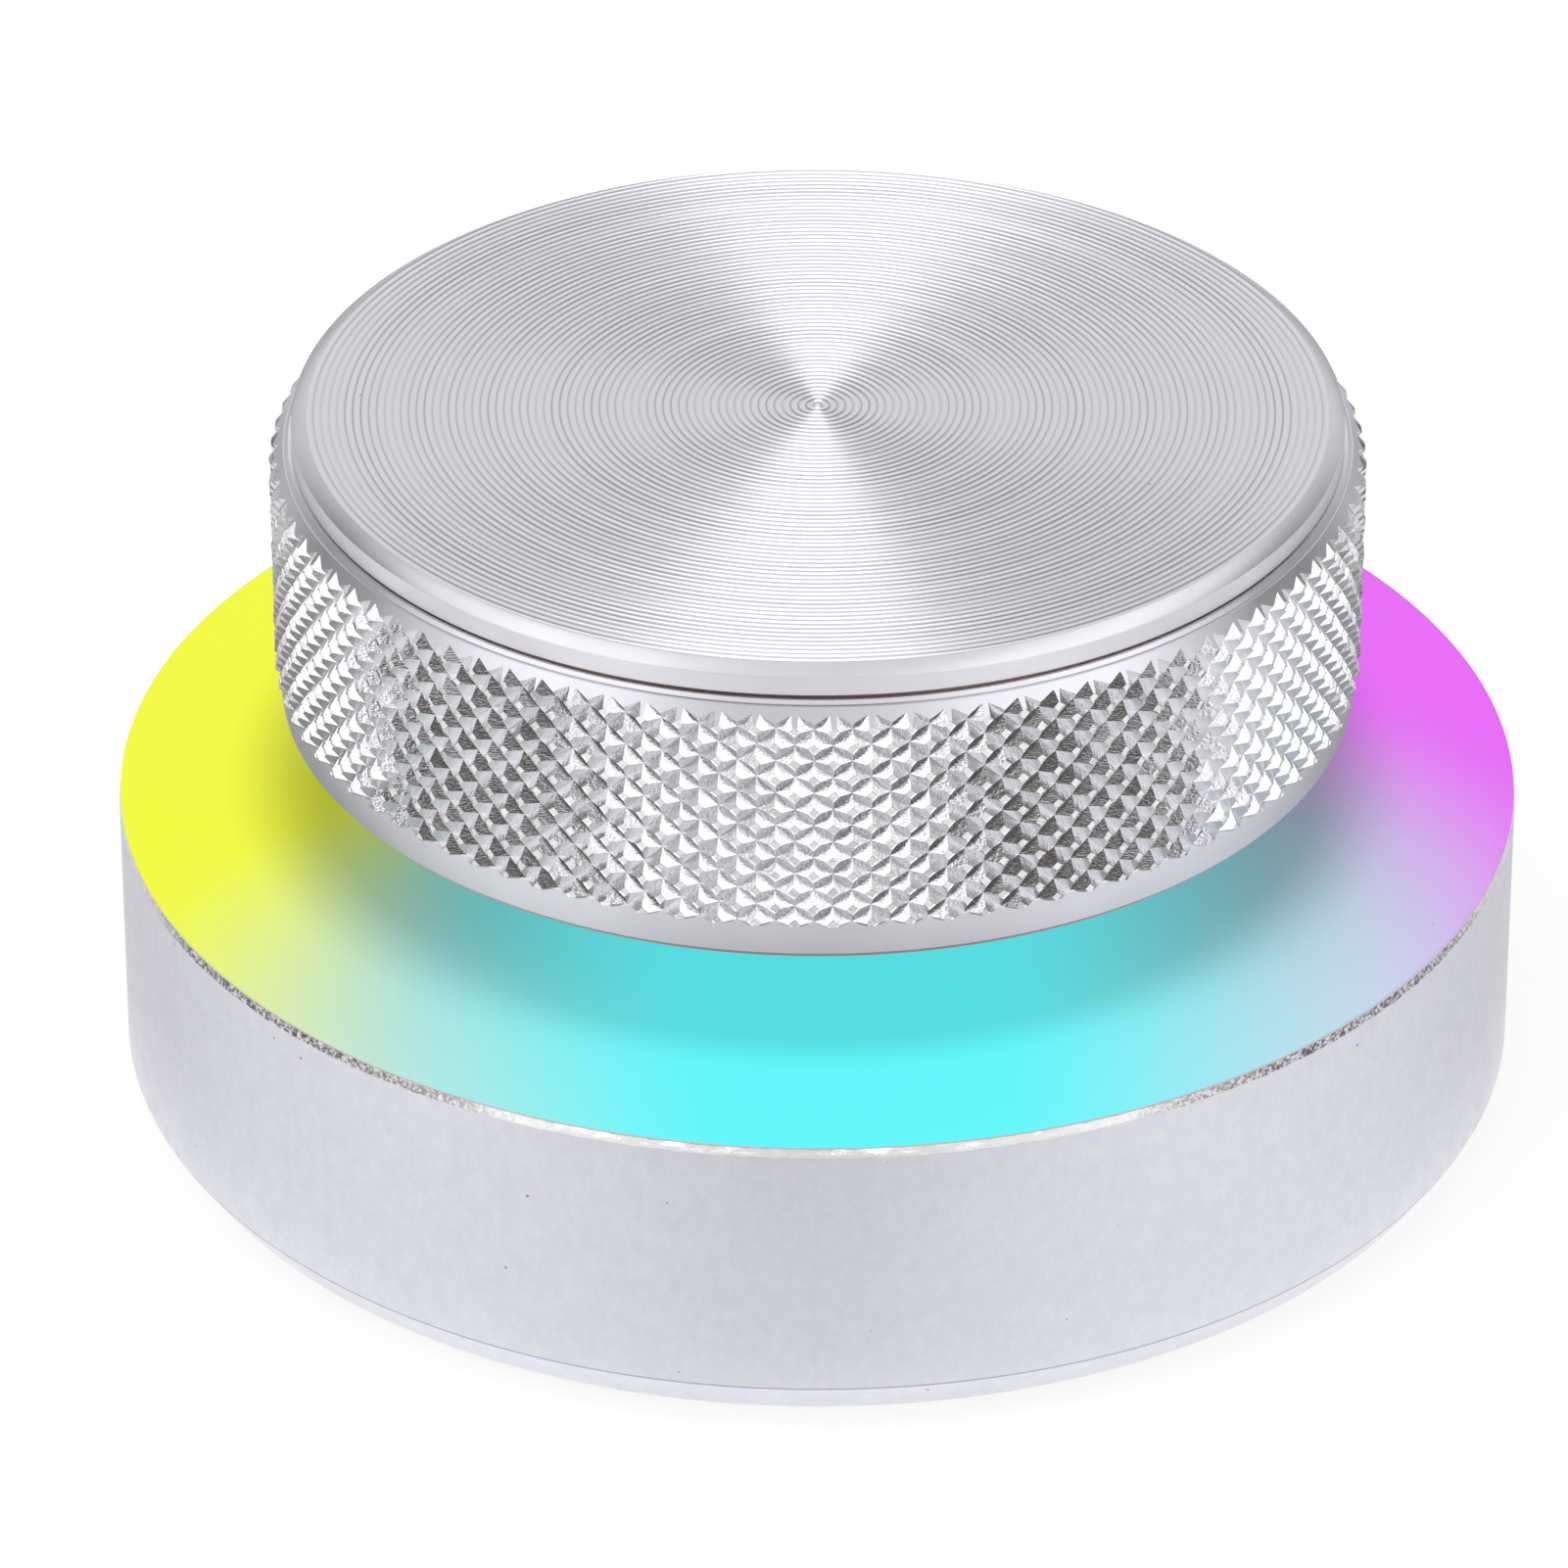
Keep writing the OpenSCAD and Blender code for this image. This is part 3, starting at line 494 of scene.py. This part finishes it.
# ---- Lit deck ----
# A clear acrylic disc with a frosted underside, dropped into the rim, which its thin lip covers. Four
# colour lamps below it light it in soft lobes, and between them it stays pale: green-grey at the
# left and blue-grey at the right.
deck_r = 29.37
deck_lip_r = 29.95
deck_lip_z = 13.75
deck_step_z = deck_lip_z + 0.08
deck_step_top_z = deck_lip_z + 0.095
deck_top_z = 13.98
deck_edge = 0.05
deck_hole_r = 3.6
deck_hole_edge = 0.1
deck_work = turned(
    [
        (deck_hole_r, deck_ledge_z), (deck_r, deck_ledge_z), (deck_r, deck_lip_z),
        (deck_lip_r - deck_edge, deck_lip_z), (deck_lip_r - deck_edge, deck_step_z),
        (deck_lip_r, deck_step_top_z), (deck_lip_r, deck_top_z - deck_edge),
        (deck_lip_r - deck_edge, deck_top_z), (deck_hole_r + deck_hole_edge, deck_top_z),
        (deck_hole_r, deck_top_z - deck_hole_edge),
    ],
    360,
)
for face in deck_work.faces:
    middle = face.calc_center_median() / mm
    if middle.xy.length > deck_r and middle.z < deck_top_z - deck_edge / 2 - 0.01:
        face.material_index = 1
deck = finish_mesh("lit_deck", deck_work, 30)
# The lamps' colours, by bearing from +X in degrees. The two at the sides spread as fans: half their
# full and whole width in degrees, and how many degrees wider they get for each millimetre outwards.
# The two others stay straight beams: half their full and whole width in millimetres.
fans = [
    (165, 27, 68, 1.5, srgb(238, 247, 45)),
    (35, 17, 68, 3.0, srgb(227, 100, 243)),
]
beams = [
    (273.5, 5, 23.5, srgb(96, 246, 250)),
    (101, 7, 19, srgb(120, 246, 120)),
]
fan_middle_r = 25
beam_start_r = 8
# Both kinds are darkened towards the drum, a painted shadow of the drum, as (outer radius, inner radius,
# share lost at the inner one)
fan_drum_shadow = (26, 21, 0.5)
beam_drum_shadow = (24.5, 21.5, 0.22)
unlit_left = srgb(202, 236, 226)
unlit_right = srgb(205, 226, 242)
unlit_left_x = -16
unlit_right_x = 6
# The glow between the lobes is dimmed from the outer to the inner radius: a painted shadow of the drum
unlit_inner_r = 21
unlit_outer_r = 26
unlit_inner_glow = 0.13
unlit_outer_glow = 0.39
black = (0, 0, 0, 1)
acrylic, tree, shader, place = new_material("lit_acrylic")
x_axis, y_axis, _ = node(tree, "SeparateXYZ", Vector=place).node.outputs
deck_reach = axis_reach(tree, place)


def lamp_axes(degrees):
    """How far a point of the deck lies along a lamp's bearing, and how far to its side."""
    cos, sin = math.cos(math.radians(degrees)), math.sin(math.radians(degrees))
    along = maths(tree, "MULTIPLY_ADD", x_axis, cos, maths(tree, "MULTIPLY", y_axis, sin))
    sideways = maths(tree, "MULTIPLY_ADD", x_axis, -sin, maths(tree, "MULTIPLY", y_axis, cos))
    return along, sideways


def painted_drum_shadow(outer_r, inner_r, share):
    """How much the painted shadow of the drum darkens a lobe: nothing at the outer radius, and the share at
    the inner one.
    """
    return ease(tree, deck_reach, outer_r * mm, inner_r * mm, 0.0, share)


lobes = []
for degrees, full, whole, widening, tint in fans:
    along, sideways = lamp_axes(degrees)
    off_centre = maths(tree, "ABSOLUTE", maths(tree, "ARCTAN2", sideways, along))
    outwards = maths(tree, "SUBTRACT", deck_reach, fan_middle_r * mm)
    off_centre = maths(tree, "MULTIPLY_ADD", outwards, -math.radians(widening) / mm, off_centre)
    lobe = ease(tree, off_centre, math.radians(whole), math.radians(full))
    lobes.append((lobe, painted_drum_shadow(*fan_drum_shadow), tint))
for degrees, full, whole, tint in beams:
    along, sideways = lamp_axes(degrees)
    lobe = maths(
        tree, "MULTIPLY",
        ease(tree, maths(tree, "ABSOLUTE", sideways), whole * mm, full * mm),
        ease(tree, along, 0, beam_start_r * mm),
    )
    lobes.append((lobe, painted_drum_shadow(*beam_drum_shadow), tint))
light = black
rightwards = ease(tree, x_axis, unlit_left_x * mm, unlit_right_x * mm)
unlit = mix_colour(tree, rightwards, unlit_left, unlit_right)
# Each lobe's colour takes the painted shadow of the drum
for lobe, shade, tint in lobes:
    light = mix_colour(tree, lobe, light, mix_colour(tree, shade, tint, black))
    unlit = mix_colour(tree, lobe, unlit, black)
# The frosted side passes on some of the light between the lobes too. This glow is dimmed towards the middle,
# a painted shadow of the drum
unlit_glow = ease(
    tree, deck_reach, unlit_inner_r * mm, unlit_outer_r * mm, unlit_inner_glow, unlit_outer_glow)
unlit_glow_in_drum_shadow = mix_colour(tree, unlit_glow, black, unlit)
glow = mix_colour(tree, 1.0, light, unlit_glow_in_drum_shadow, "ADD")
dust = specks(tree, stretched(tree, place, 1, 1, 0), 6 * mm, 0.07 * mm)
glow = mix_colour(tree, dust, glow, (0.1, 0.1, 0.1, 1))
tree.links.new(mix_colour(tree, 0.4, unlit, black), shader.inputs["Base Color"])
# To mirror rays the deck shows a plain grey instead of its lit colours, so the drum's bright flanks reflect
# no colour: a painted reflection
mirror_ray = tree.nodes.new("ShaderNodeLightPath").outputs["Is Glossy Ray"]
mirrored_deck = (0.28, 0.28, 0.28, 1)
tree.links.new(mix_colour(tree, mirror_ray, glow, mirrored_deck), shader.inputs["Emission Color"])
set_values(shader, Emission_Strength=1.0, Roughness=0.3, Specular_IOR_Level=0.15)
deck.data.materials.append(acrylic)
deck_side, tree, shader, place = new_material("sawn_acrylic_edge")
set_values(
    shader, Base_Color=srgb(196, 184, 178), Emission_Color=srgb(212, 200, 196), Emission_Strength=0.4,
    Roughness=0.35,
)
bump(tree, shader, noise(tree, place, 2500), 0.02 * mm)
deck.data.materials.append(deck_side)
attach(deck, "base")
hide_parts("light_plate")

# ---- Rotary encoder ----
# A stock push encoder: a black moulded case under a folded nickel-plated bracket with a threaded
# bushing. A nut and a washer clamp it to the deck, and its shaft turns and presses down for the click.


def refinish(material, *names):
    """Gives parts of the frame a finish of their own."""
    for name in names:
        for material_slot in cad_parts[name].material_slots:
            material_slot.material = material


def plain_finish(name, tones, metallic, rough, grain, depth):
    """A material between two tones, with a range of roughness and a grain of a size and depth in mm."""
    material, tree, shader, place = new_material(name)
    first, second = tones
    tree.links.new(mix_colour(tree, noise(tree, place, 250), first, second), shader.inputs["Base Color"])
    set_values(shader, Metallic=metallic)
    smoothest, roughest = rough
    worn = noise(tree, place, 0.25 / (grain * mm))
    tree.links.new(ease(tree, worn, 0.3, 0.7, smoothest, roughest), shader.inputs["Roughness"])
    bump(tree, shader, noise(tree, place, 1 / (grain * mm), 3), depth * mm)
    return material


nickel_plate = plain_finish(
    "nickel_plate", (srgb(196, 195, 192), srgb(210, 209, 205)), 1.0, (0.16, 0.30), 0.12, 0.004)
black_moulding = plain_finish(
    "black_moulding", (srgb(30, 30, 31), srgb(40, 40, 41)), 0.0, (0.45, 0.62), 0.09, 0.008)
white_moulding = plain_finish(
    "white_moulding", (srgb(222, 220, 211), srgb(232, 230, 223)), 0.0, (0.34, 0.48), 0.12, 0.006)
red_moulding = plain_finish(
    "red_moulding", (srgb(196, 52, 34), srgb(214, 66, 44)), 0.0, (0.34, 0.48), 0.12, 0.006)
spring_brass = plain_finish(
    "spring_brass", (srgb(208, 172, 104), srgb(222, 190, 124)), 1.0, (0.20, 0.34), 0.06, 0.003)
zinc_plate = plain_finish(
    "zinc_plate", (srgb(168, 171, 178), srgb(188, 190, 196)), 1.0, (0.24, 0.38), 0.10, 0.005)
refinish(
    nickel_plate, "encoder_bracket", "encoder_bushing", "encoder_washer", "encoder_nut",
    "encoder_pins", "switch_dome", "knob_shaft", "clock_crystal",
)
refinish(black_moulding, "encoder_case")
refinish(white_moulding, "encoder_rotor")
refinish(red_moulding, "switch_plunger")
refinish(spring_brass, "detent_spring")
refinish(zinc_plate, "shaft_clip")

# ---- Circuit board ----
# A green glass-laminate disc that carries the encoder, four colour lamps, the controller chip, its
# regulator, crystal and small parts, and the cable's header. Three screws hold it to the shell's bosses.
laminate, tree, shader, place = new_material("board_laminate")
tracks = tree.nodes.new("ShaderNodeTexBrick")
tree.links.new(place, tracks.inputs["Vector"])
for name, value in (
    ("Scale", 300), ("Mortar Size", 0.06), ("Mortar Smooth", 0.1), ("Brick Width", 1.7), ("Row Height", 0.5),
    ("Color1", srgb(20, 84, 50)), ("Color2", srgb(16, 74, 44)), ("Mortar", srgb(46, 128, 78)),
):
    tracks.inputs[name].default_value = value
tree.links.new(tracks.outputs["Color"], shader.inputs["Base Color"])
tree.links.new(ease(tree, noise(tree, place, 400), 0.3, 0.7, 0.26, 0.36), shader.inputs["Roughness"])
tracks_up = bump(tree, shader, tracks.outputs["Fac"], 0.02 * mm)
bump(tree, shader, noise(tree, place, 2500), 0.01 * mm, tracks_up)
fired_ceramic = plain_finish(
    "fired_ceramic", (srgb(150, 116, 82), srgb(172, 138, 102)), 0.0, (0.35, 0.5), 0.10, 0.004)
refinish(laminate, "circuit_board")
refinish(white_moulding, "rgb_leds", "cable_header")
refinish(black_moulding, "controller_chip", "voltage_regulator", "chip_resistors")
refinish(fired_ceramic, "chip_capacitors")
refinish(zinc_plate, "board_screws")

# ---- Cable grommet ----
# A soft black rubber ring pushed into the bore in the back wall, where the cable goes in.
rubber = plain_finish(
    "black_rubber", (srgb(28, 28, 29), srgb(40, 40, 41)), 0.0, (0.72, 0.9), 0.22, 0.03)
refinish(rubber, "cable_grommet")

# ---- Underside ----
# A black powder-coated steel plate closes the shell, held by three zinc-plated screws. A thin rubber
# pad is glued over it, and the control stands on that.
powder_coat = plain_finish(
    "powder_coat", (srgb(36, 36, 38), srgb(48, 48, 50)), 0.0, (0.42, 0.58), 0.30, 0.02)
refinish(powder_coat, "bottom_plate")
refinish(zinc_plate, "bottom_screws")
refinish(rubber, "foot_pad")

# ---- Drum core ----
# A turned aluminium drum that carries the knurled sleeve and the cap. A black moulded insert, pressed
# into its middle, grips the encoder's shaft.
core_metal, tree, shader, place = new_material("turned_core")
tool_marks = node(
    tree, "TexNoise", settings={"noise_dimensions": "1D"}, W=axis_reach(tree, place), Scale=5000, Detail=3.0)
tree.links.new(
    mix_colour(tree, tool_marks, srgb(206, 207, 213), srgb(224, 224, 229)), shader.inputs["Base Color"])
set_values(shader, Metallic=1.0)
tree.links.new(ease(tree, noise(tree, place, 300), 0.3, 0.7, 0.22, 0.32), shader.inputs["Roughness"])
bump(tree, shader, tool_marks, 0.006 * mm)
refinish(core_metal, "knob_core")
refinish(black_moulding, "shaft_insert")

# ---- Knurled sleeve ----
# An aluminium ring with a diamond knurl rolled and cut into it, 92 diamonds round. The knurl ends
# below in a step above the smooth band, and above it runs out into a sloped shoulder.
knurl_metal, tree, shader, place = new_material("knurled_aluminium")
tone = noise(tree, place, 700)
tree.links.new(mix_colour(tree, tone, srgb(226, 226, 230), srgb(238, 237, 240)), shader.inputs["Base Color"])
set_values(shader, Metallic=1.0)
tree.links.new(ease(tree, noise(tree, place, 2500), 0.3, 0.7, 0.08, 0.18), shader.inputs["Roughness"])
# The wheel leaves short level scores on the flanks
scores = bump(tree, shader, noise(tree, stretched(tree, place, 1, 1, 5), 4500, 3), 0.012 * mm)
bump(tree, shader, noise(tree, place, 6000, 2), 0.012 * mm, scores)

turned_metal, tree, shader, place = new_material("turned_aluminium")
tone = noise(tree, place, 90)
tree.links.new(mix_colour(tree, tone, srgb(224, 223, 229), srgb(230, 229, 235)), shader.inputs["Base Color"])
set_values(shader, Metallic=1.0)
tree.links.new(ease(tree, noise(tree, place, 300), 0.3, 0.7, 0.31, 0.37), shader.inputs["Roughness"])
lathe_lines = noise(tree, stretched(tree, place, 0.1, 0.1, 9), 3000, 2)
bump(tree, shader, lathe_lines, 0.0015 * mm)

knurl_count = 92
knurl_crest_r = 23.17
knurl_valley_r = 22.81
knurl_foot_z = 20.3
knurl_pitch_z = 1.52
half_rows = 14
point_flank = 0.36
point_pit = 0.05
pit_edge = 0.06
band_r = 22.9
band_edge = 0.3
band_top_edge = 0.04
drum_bottom_z = 18.5
sleeve_top_z = 30.5
sleeve_bore_r = 19.5
sleeve_lip_r = 18.5
sleeve_lip_z = 29.6
shoulder_slope = 0.81
shoulder_top_r = 22.6
shoulder_top_z = 30.3
ledge_r = 22.52
ledge_bevel_z = 30.37
ledge_top_r = 22.36

knurl_work = bmesh.new()
column = [
    knurl_work.verts.new((knurl_valley_r * mm, 0, (knurl_foot_z + row * knurl_pitch_z / 2) * mm))
    for row in range(-2, half_rows + 1)
]
lines = [knurl_work.edges.new(pair) for pair in zip(column, column[1:])]
bmesh.ops.spin(
    knurl_work, geom=column + lines, cent=(0, 0, 0), axis=(0, 0, 1),
    angle=math.tau, steps=2 * knurl_count, use_merge=True,
)


def knurl_index(corner):
    """The column and row of a corner of the knurl's grid, summed: even ones are crossings."""
    turn = math.atan2(corner.co.y, corner.co.x) % math.tau
    return round(turn / math.tau * 2 * knurl_count) + round(
        (corner.co.z / mm - knurl_foot_z) / (knurl_pitch_z / 2))


crossings = [corner for corner in knurl_work.verts if knurl_index(corner) % 2 == 0]
crests = [corner for corner in knurl_work.verts if knurl_index(corner) % 2 == 1 and not corner.is_boundary]
bmesh.ops.connect_verts(knurl_work, verts=crossings)
bmesh.ops.dissolve_verts(knurl_work, verts=crests)
bmesh.ops.recalc_face_normals(knurl_work, faces=knurl_work.faces)
# Each diamond is raised to a blunt point. The wheel hasn't tracked perfectly, so they scatter a little.
crossing_scatter = 0.010
lean_scatter = 0.02
point_scatter = 0.018
random.seed(11)
for corner in knurl_work.verts:
    corner.co.z += random.gauss(0, crossing_scatter) * mm
diamonds = [face for face in knurl_work.faces if len(face.verts) == 4]
bmesh.ops.inset_individual(
    knurl_work, faces=diamonds, thickness=point_flank * mm, depth=(knurl_crest_r - knurl_valley_r) * mm,
    use_even_offset=True,
)
for face in diamonds:
    lean = random.gauss(0, lean_scatter) * mm
    for corner in face.verts:
        corner.co.x += random.gauss(0, point_scatter) * mm
        corner.co.y += random.gauss(0, point_scatter) * mm
        corner.co.z += lean + random.gauss(0, point_scatter) * mm
bmesh.ops.inset_individual(knurl_work, faces=diamonds, thickness=pit_edge * mm, depth=-point_pit * mm)
# The skin is drawn inwards at both ends and closed into a ring
ends = [line for line in knurl_work.edges if line.is_boundary]
drawn = bmesh.ops.extrude_edge_only(knurl_work, edges=ends)
inner = [item for item in drawn["geom"] if isinstance(item, bmesh.types.BMVert)]
for corner in inner:
    shrink = (sleeve_bore_r - 0.5) * mm / corner.co.xy.length
    corner.co.x *= shrink
    corner.co.y *= shrink
inner_ring = [line for line in knurl_work.edges if line.is_boundary]
bmesh.ops.bridge_loops(knurl_work, edges=inner_ring)
bmesh.ops.recalc_face_normals(knurl_work, faces=knurl_work.faces)
sleeve = finish_mesh("knurled_sleeve", knurl_work, 12, knurl_metal)

# A turned blank trims the ring to its shoulder, its ledge below the cap and its bore
envelope_steps = 3 * knurl_count
blank_r = knurl_crest_r + 0.05
cone_start_z = shoulder_top_z - (blank_r - shoulder_top_r) / shoulder_slope
sleeve_end = turned(
    [
        (sleeve_bore_r, knurl_foot_z - 0.1), (blank_r, knurl_foot_z - 0.1),
        (blank_r, cone_start_z), (shoulder_top_r, shoulder_top_z),
        (shoulder_top_r - 0.03, shoulder_top_z - 0.01), (ledge_r, shoulder_top_z),
        (ledge_r - 0.02, ledge_bevel_z), (ledge_top_r, sleeve_top_z), (sleeve_lip_r, sleeve_top_z),
        (sleeve_lip_r, sleeve_lip_z), (sleeve_bore_r, sleeve_lip_z),
    ],
    envelope_steps,
)
boolean(sleeve, finish_mesh("sleeve_end", sleeve_end, 12, turned_metal), "INTERSECT")
band = turned(
    [
        (sleeve_bore_r, drum_bottom_z), (band_r - band_edge, drum_bottom_z),
        (band_r, drum_bottom_z + band_edge), (band_r, knurl_foot_z - band_top_edge),
        (band_r - band_top_edge, knurl_foot_z), (sleeve_bore_r, knurl_foot_z),
    ],
    envelope_steps,
)
boolean(sleeve, finish_mesh("band", band, 12, turned_metal), "UNION")
sleeve.data.shade_smooth()
sleeve.data.set_sharp_from_angle(angle=math.radians(12))
knurl_start_degrees = -0.31
sleeve.data.transform(Matrix.Rotation(math.radians(knurl_start_degrees), 4, "Z"))
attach(sleeve, "knob")
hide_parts("knurl_ring")

# ---- Cap ----
# An aluminium disc pressed on top of the drum, faced on a lathe. The tool's nose has left a shallow
# round-bottomed groove at each turn, and the edge has a clean bevel.
cap_r = 22.2
cap_edge = 0.02
cap_underside_z = 30.62
cap_wall_top_z = 31.45
cap_face_r = 21.6
cap_top_z = 31.8
cap_relief_r = 22.08
groove_count = 64
groove_parts = 4
groove_depth = 0.035
groove_pitch = cap_face_r / (groove_count + 0.5)
cap_outline = [
    (0, sleeve_top_z), (cap_relief_r, sleeve_top_z), (cap_relief_r, cap_underside_z),
    (cap_r - 0.05, cap_underside_z), (cap_r, cap_underside_z + 0.05),
    (cap_r, cap_wall_top_z - cap_edge), (cap_r - cap_edge, cap_wall_top_z + cap_edge / 2),
]
random.seed(7)
for groove in range(groove_count):
    outer_r = cap_face_r - groove * groove_pitch
    depth_here = groove_depth * random.uniform(0.94, 1.06)
    for part in range(groove_parts):
        across = part / groove_parts
        cap_outline.append((
            outer_r - across * groove_pitch,
            cap_top_z - depth_here * 4 * across * (1 - across),
        ))
cap_outline.append((groove_pitch / 2, cap_top_z))
cap_outline.append((0, cap_top_z - 0.02))
cap_work = turned(cap_outline, 256)
for face in cap_work.faces:
    middle = face.calc_center_median() / mm
    if middle.z < cap_underside_z + 0.01 and middle.xy.length > cap_relief_r - 0.1:
        face.material_index = 1
    elif middle.xy.length > cap_face_r:
        face.material_index = 2
# The cap sits a hair closer to the sleeve at the back and the sides than at the front
seam_closing_middle = 0.065
seam_closing_change = 0.03
for corner in cap_work.verts:
    if corner.co.xy.length > (cap_relief_r - 0.01) * mm and corner.co.z < (cap_underside_z + 0.06) * mm:
        backwards = seam_closing_change * (corner.co.y + abs(corner.co.x)) / (cap_r * mm)
        corner.co.z = max(corner.co.z - (seam_closing_middle + backwards) * mm, sleeve_top_z * mm)
cap = finish_mesh("turned_cap", cap_work, 30)
faced, tree, shader, place = new_material("faced_aluminium")
radius = axis_reach(tree, place)
rings = node(tree, "TexNoise", settings={"noise_dimensions": "1D"}, W=radius, Scale=9000, Detail=3.0)
tone = noise(tree, place, 120)
colour = mix_colour(tree, tone, srgb(223, 223, 230), srgb(231, 231, 237))
# Each groove's crest is darkened in a thin line, a painted shade, stronger on some turns than on others
inwards = maths(tree, "SUBTRACT", cap_face_r * mm, radius)
turn_place = maths(tree, "FRACT", maths(tree, "DIVIDE", inwards, groove_pitch * mm))
crest = ease(tree, maths(tree, "ABSOLUTE", maths(tree, "SUBTRACT", turn_place, 0.5)), 0.32, 0.45)
turn_strength = node(
    tree, "TexNoise", settings={"noise_dimensions": "1D"}, W=radius, Scale=700, Detail=1.0)
uneven = ease(tree, turn_strength, 0.3, 0.7, 0.25, 0.75)
on_face = ease(tree, radius, cap_face_r * mm, (cap_face_r - 0.05) * mm)
crest_shade_line = maths(tree, "MULTIPLY", maths(tree, "MULTIPLY", crest, uneven), on_face)
colour = mix_colour(tree, crest_shade_line, colour, srgb(168, 168, 175))
dark_specks = specks(tree, stretched(tree, place, 1, 1, 0), 3.2 * mm, 0.07 * mm)
colour = mix_colour(tree, dark_specks, colour, srgb(120, 116, 120))
tree.links.new(colour, shader.inputs["Base Color"])
set_values(shader, Metallic=1.0, Roughness=0.16)
bump(tree, shader, rings, 0.003 * mm)
cap.data.materials.append(faced)
seam, tree, shader, place = new_material("seam_shadow")
set_values(shader, Base_Color=srgb(160, 138, 126), Metallic=1.0, Roughness=0.4)
bump(tree, shader, noise(tree, place, 3000), 0.02 * mm)
cap.data.materials.append(seam)
cap.data.materials.append(turned_metal)
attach(cap, "knob")
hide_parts("knob_cap")
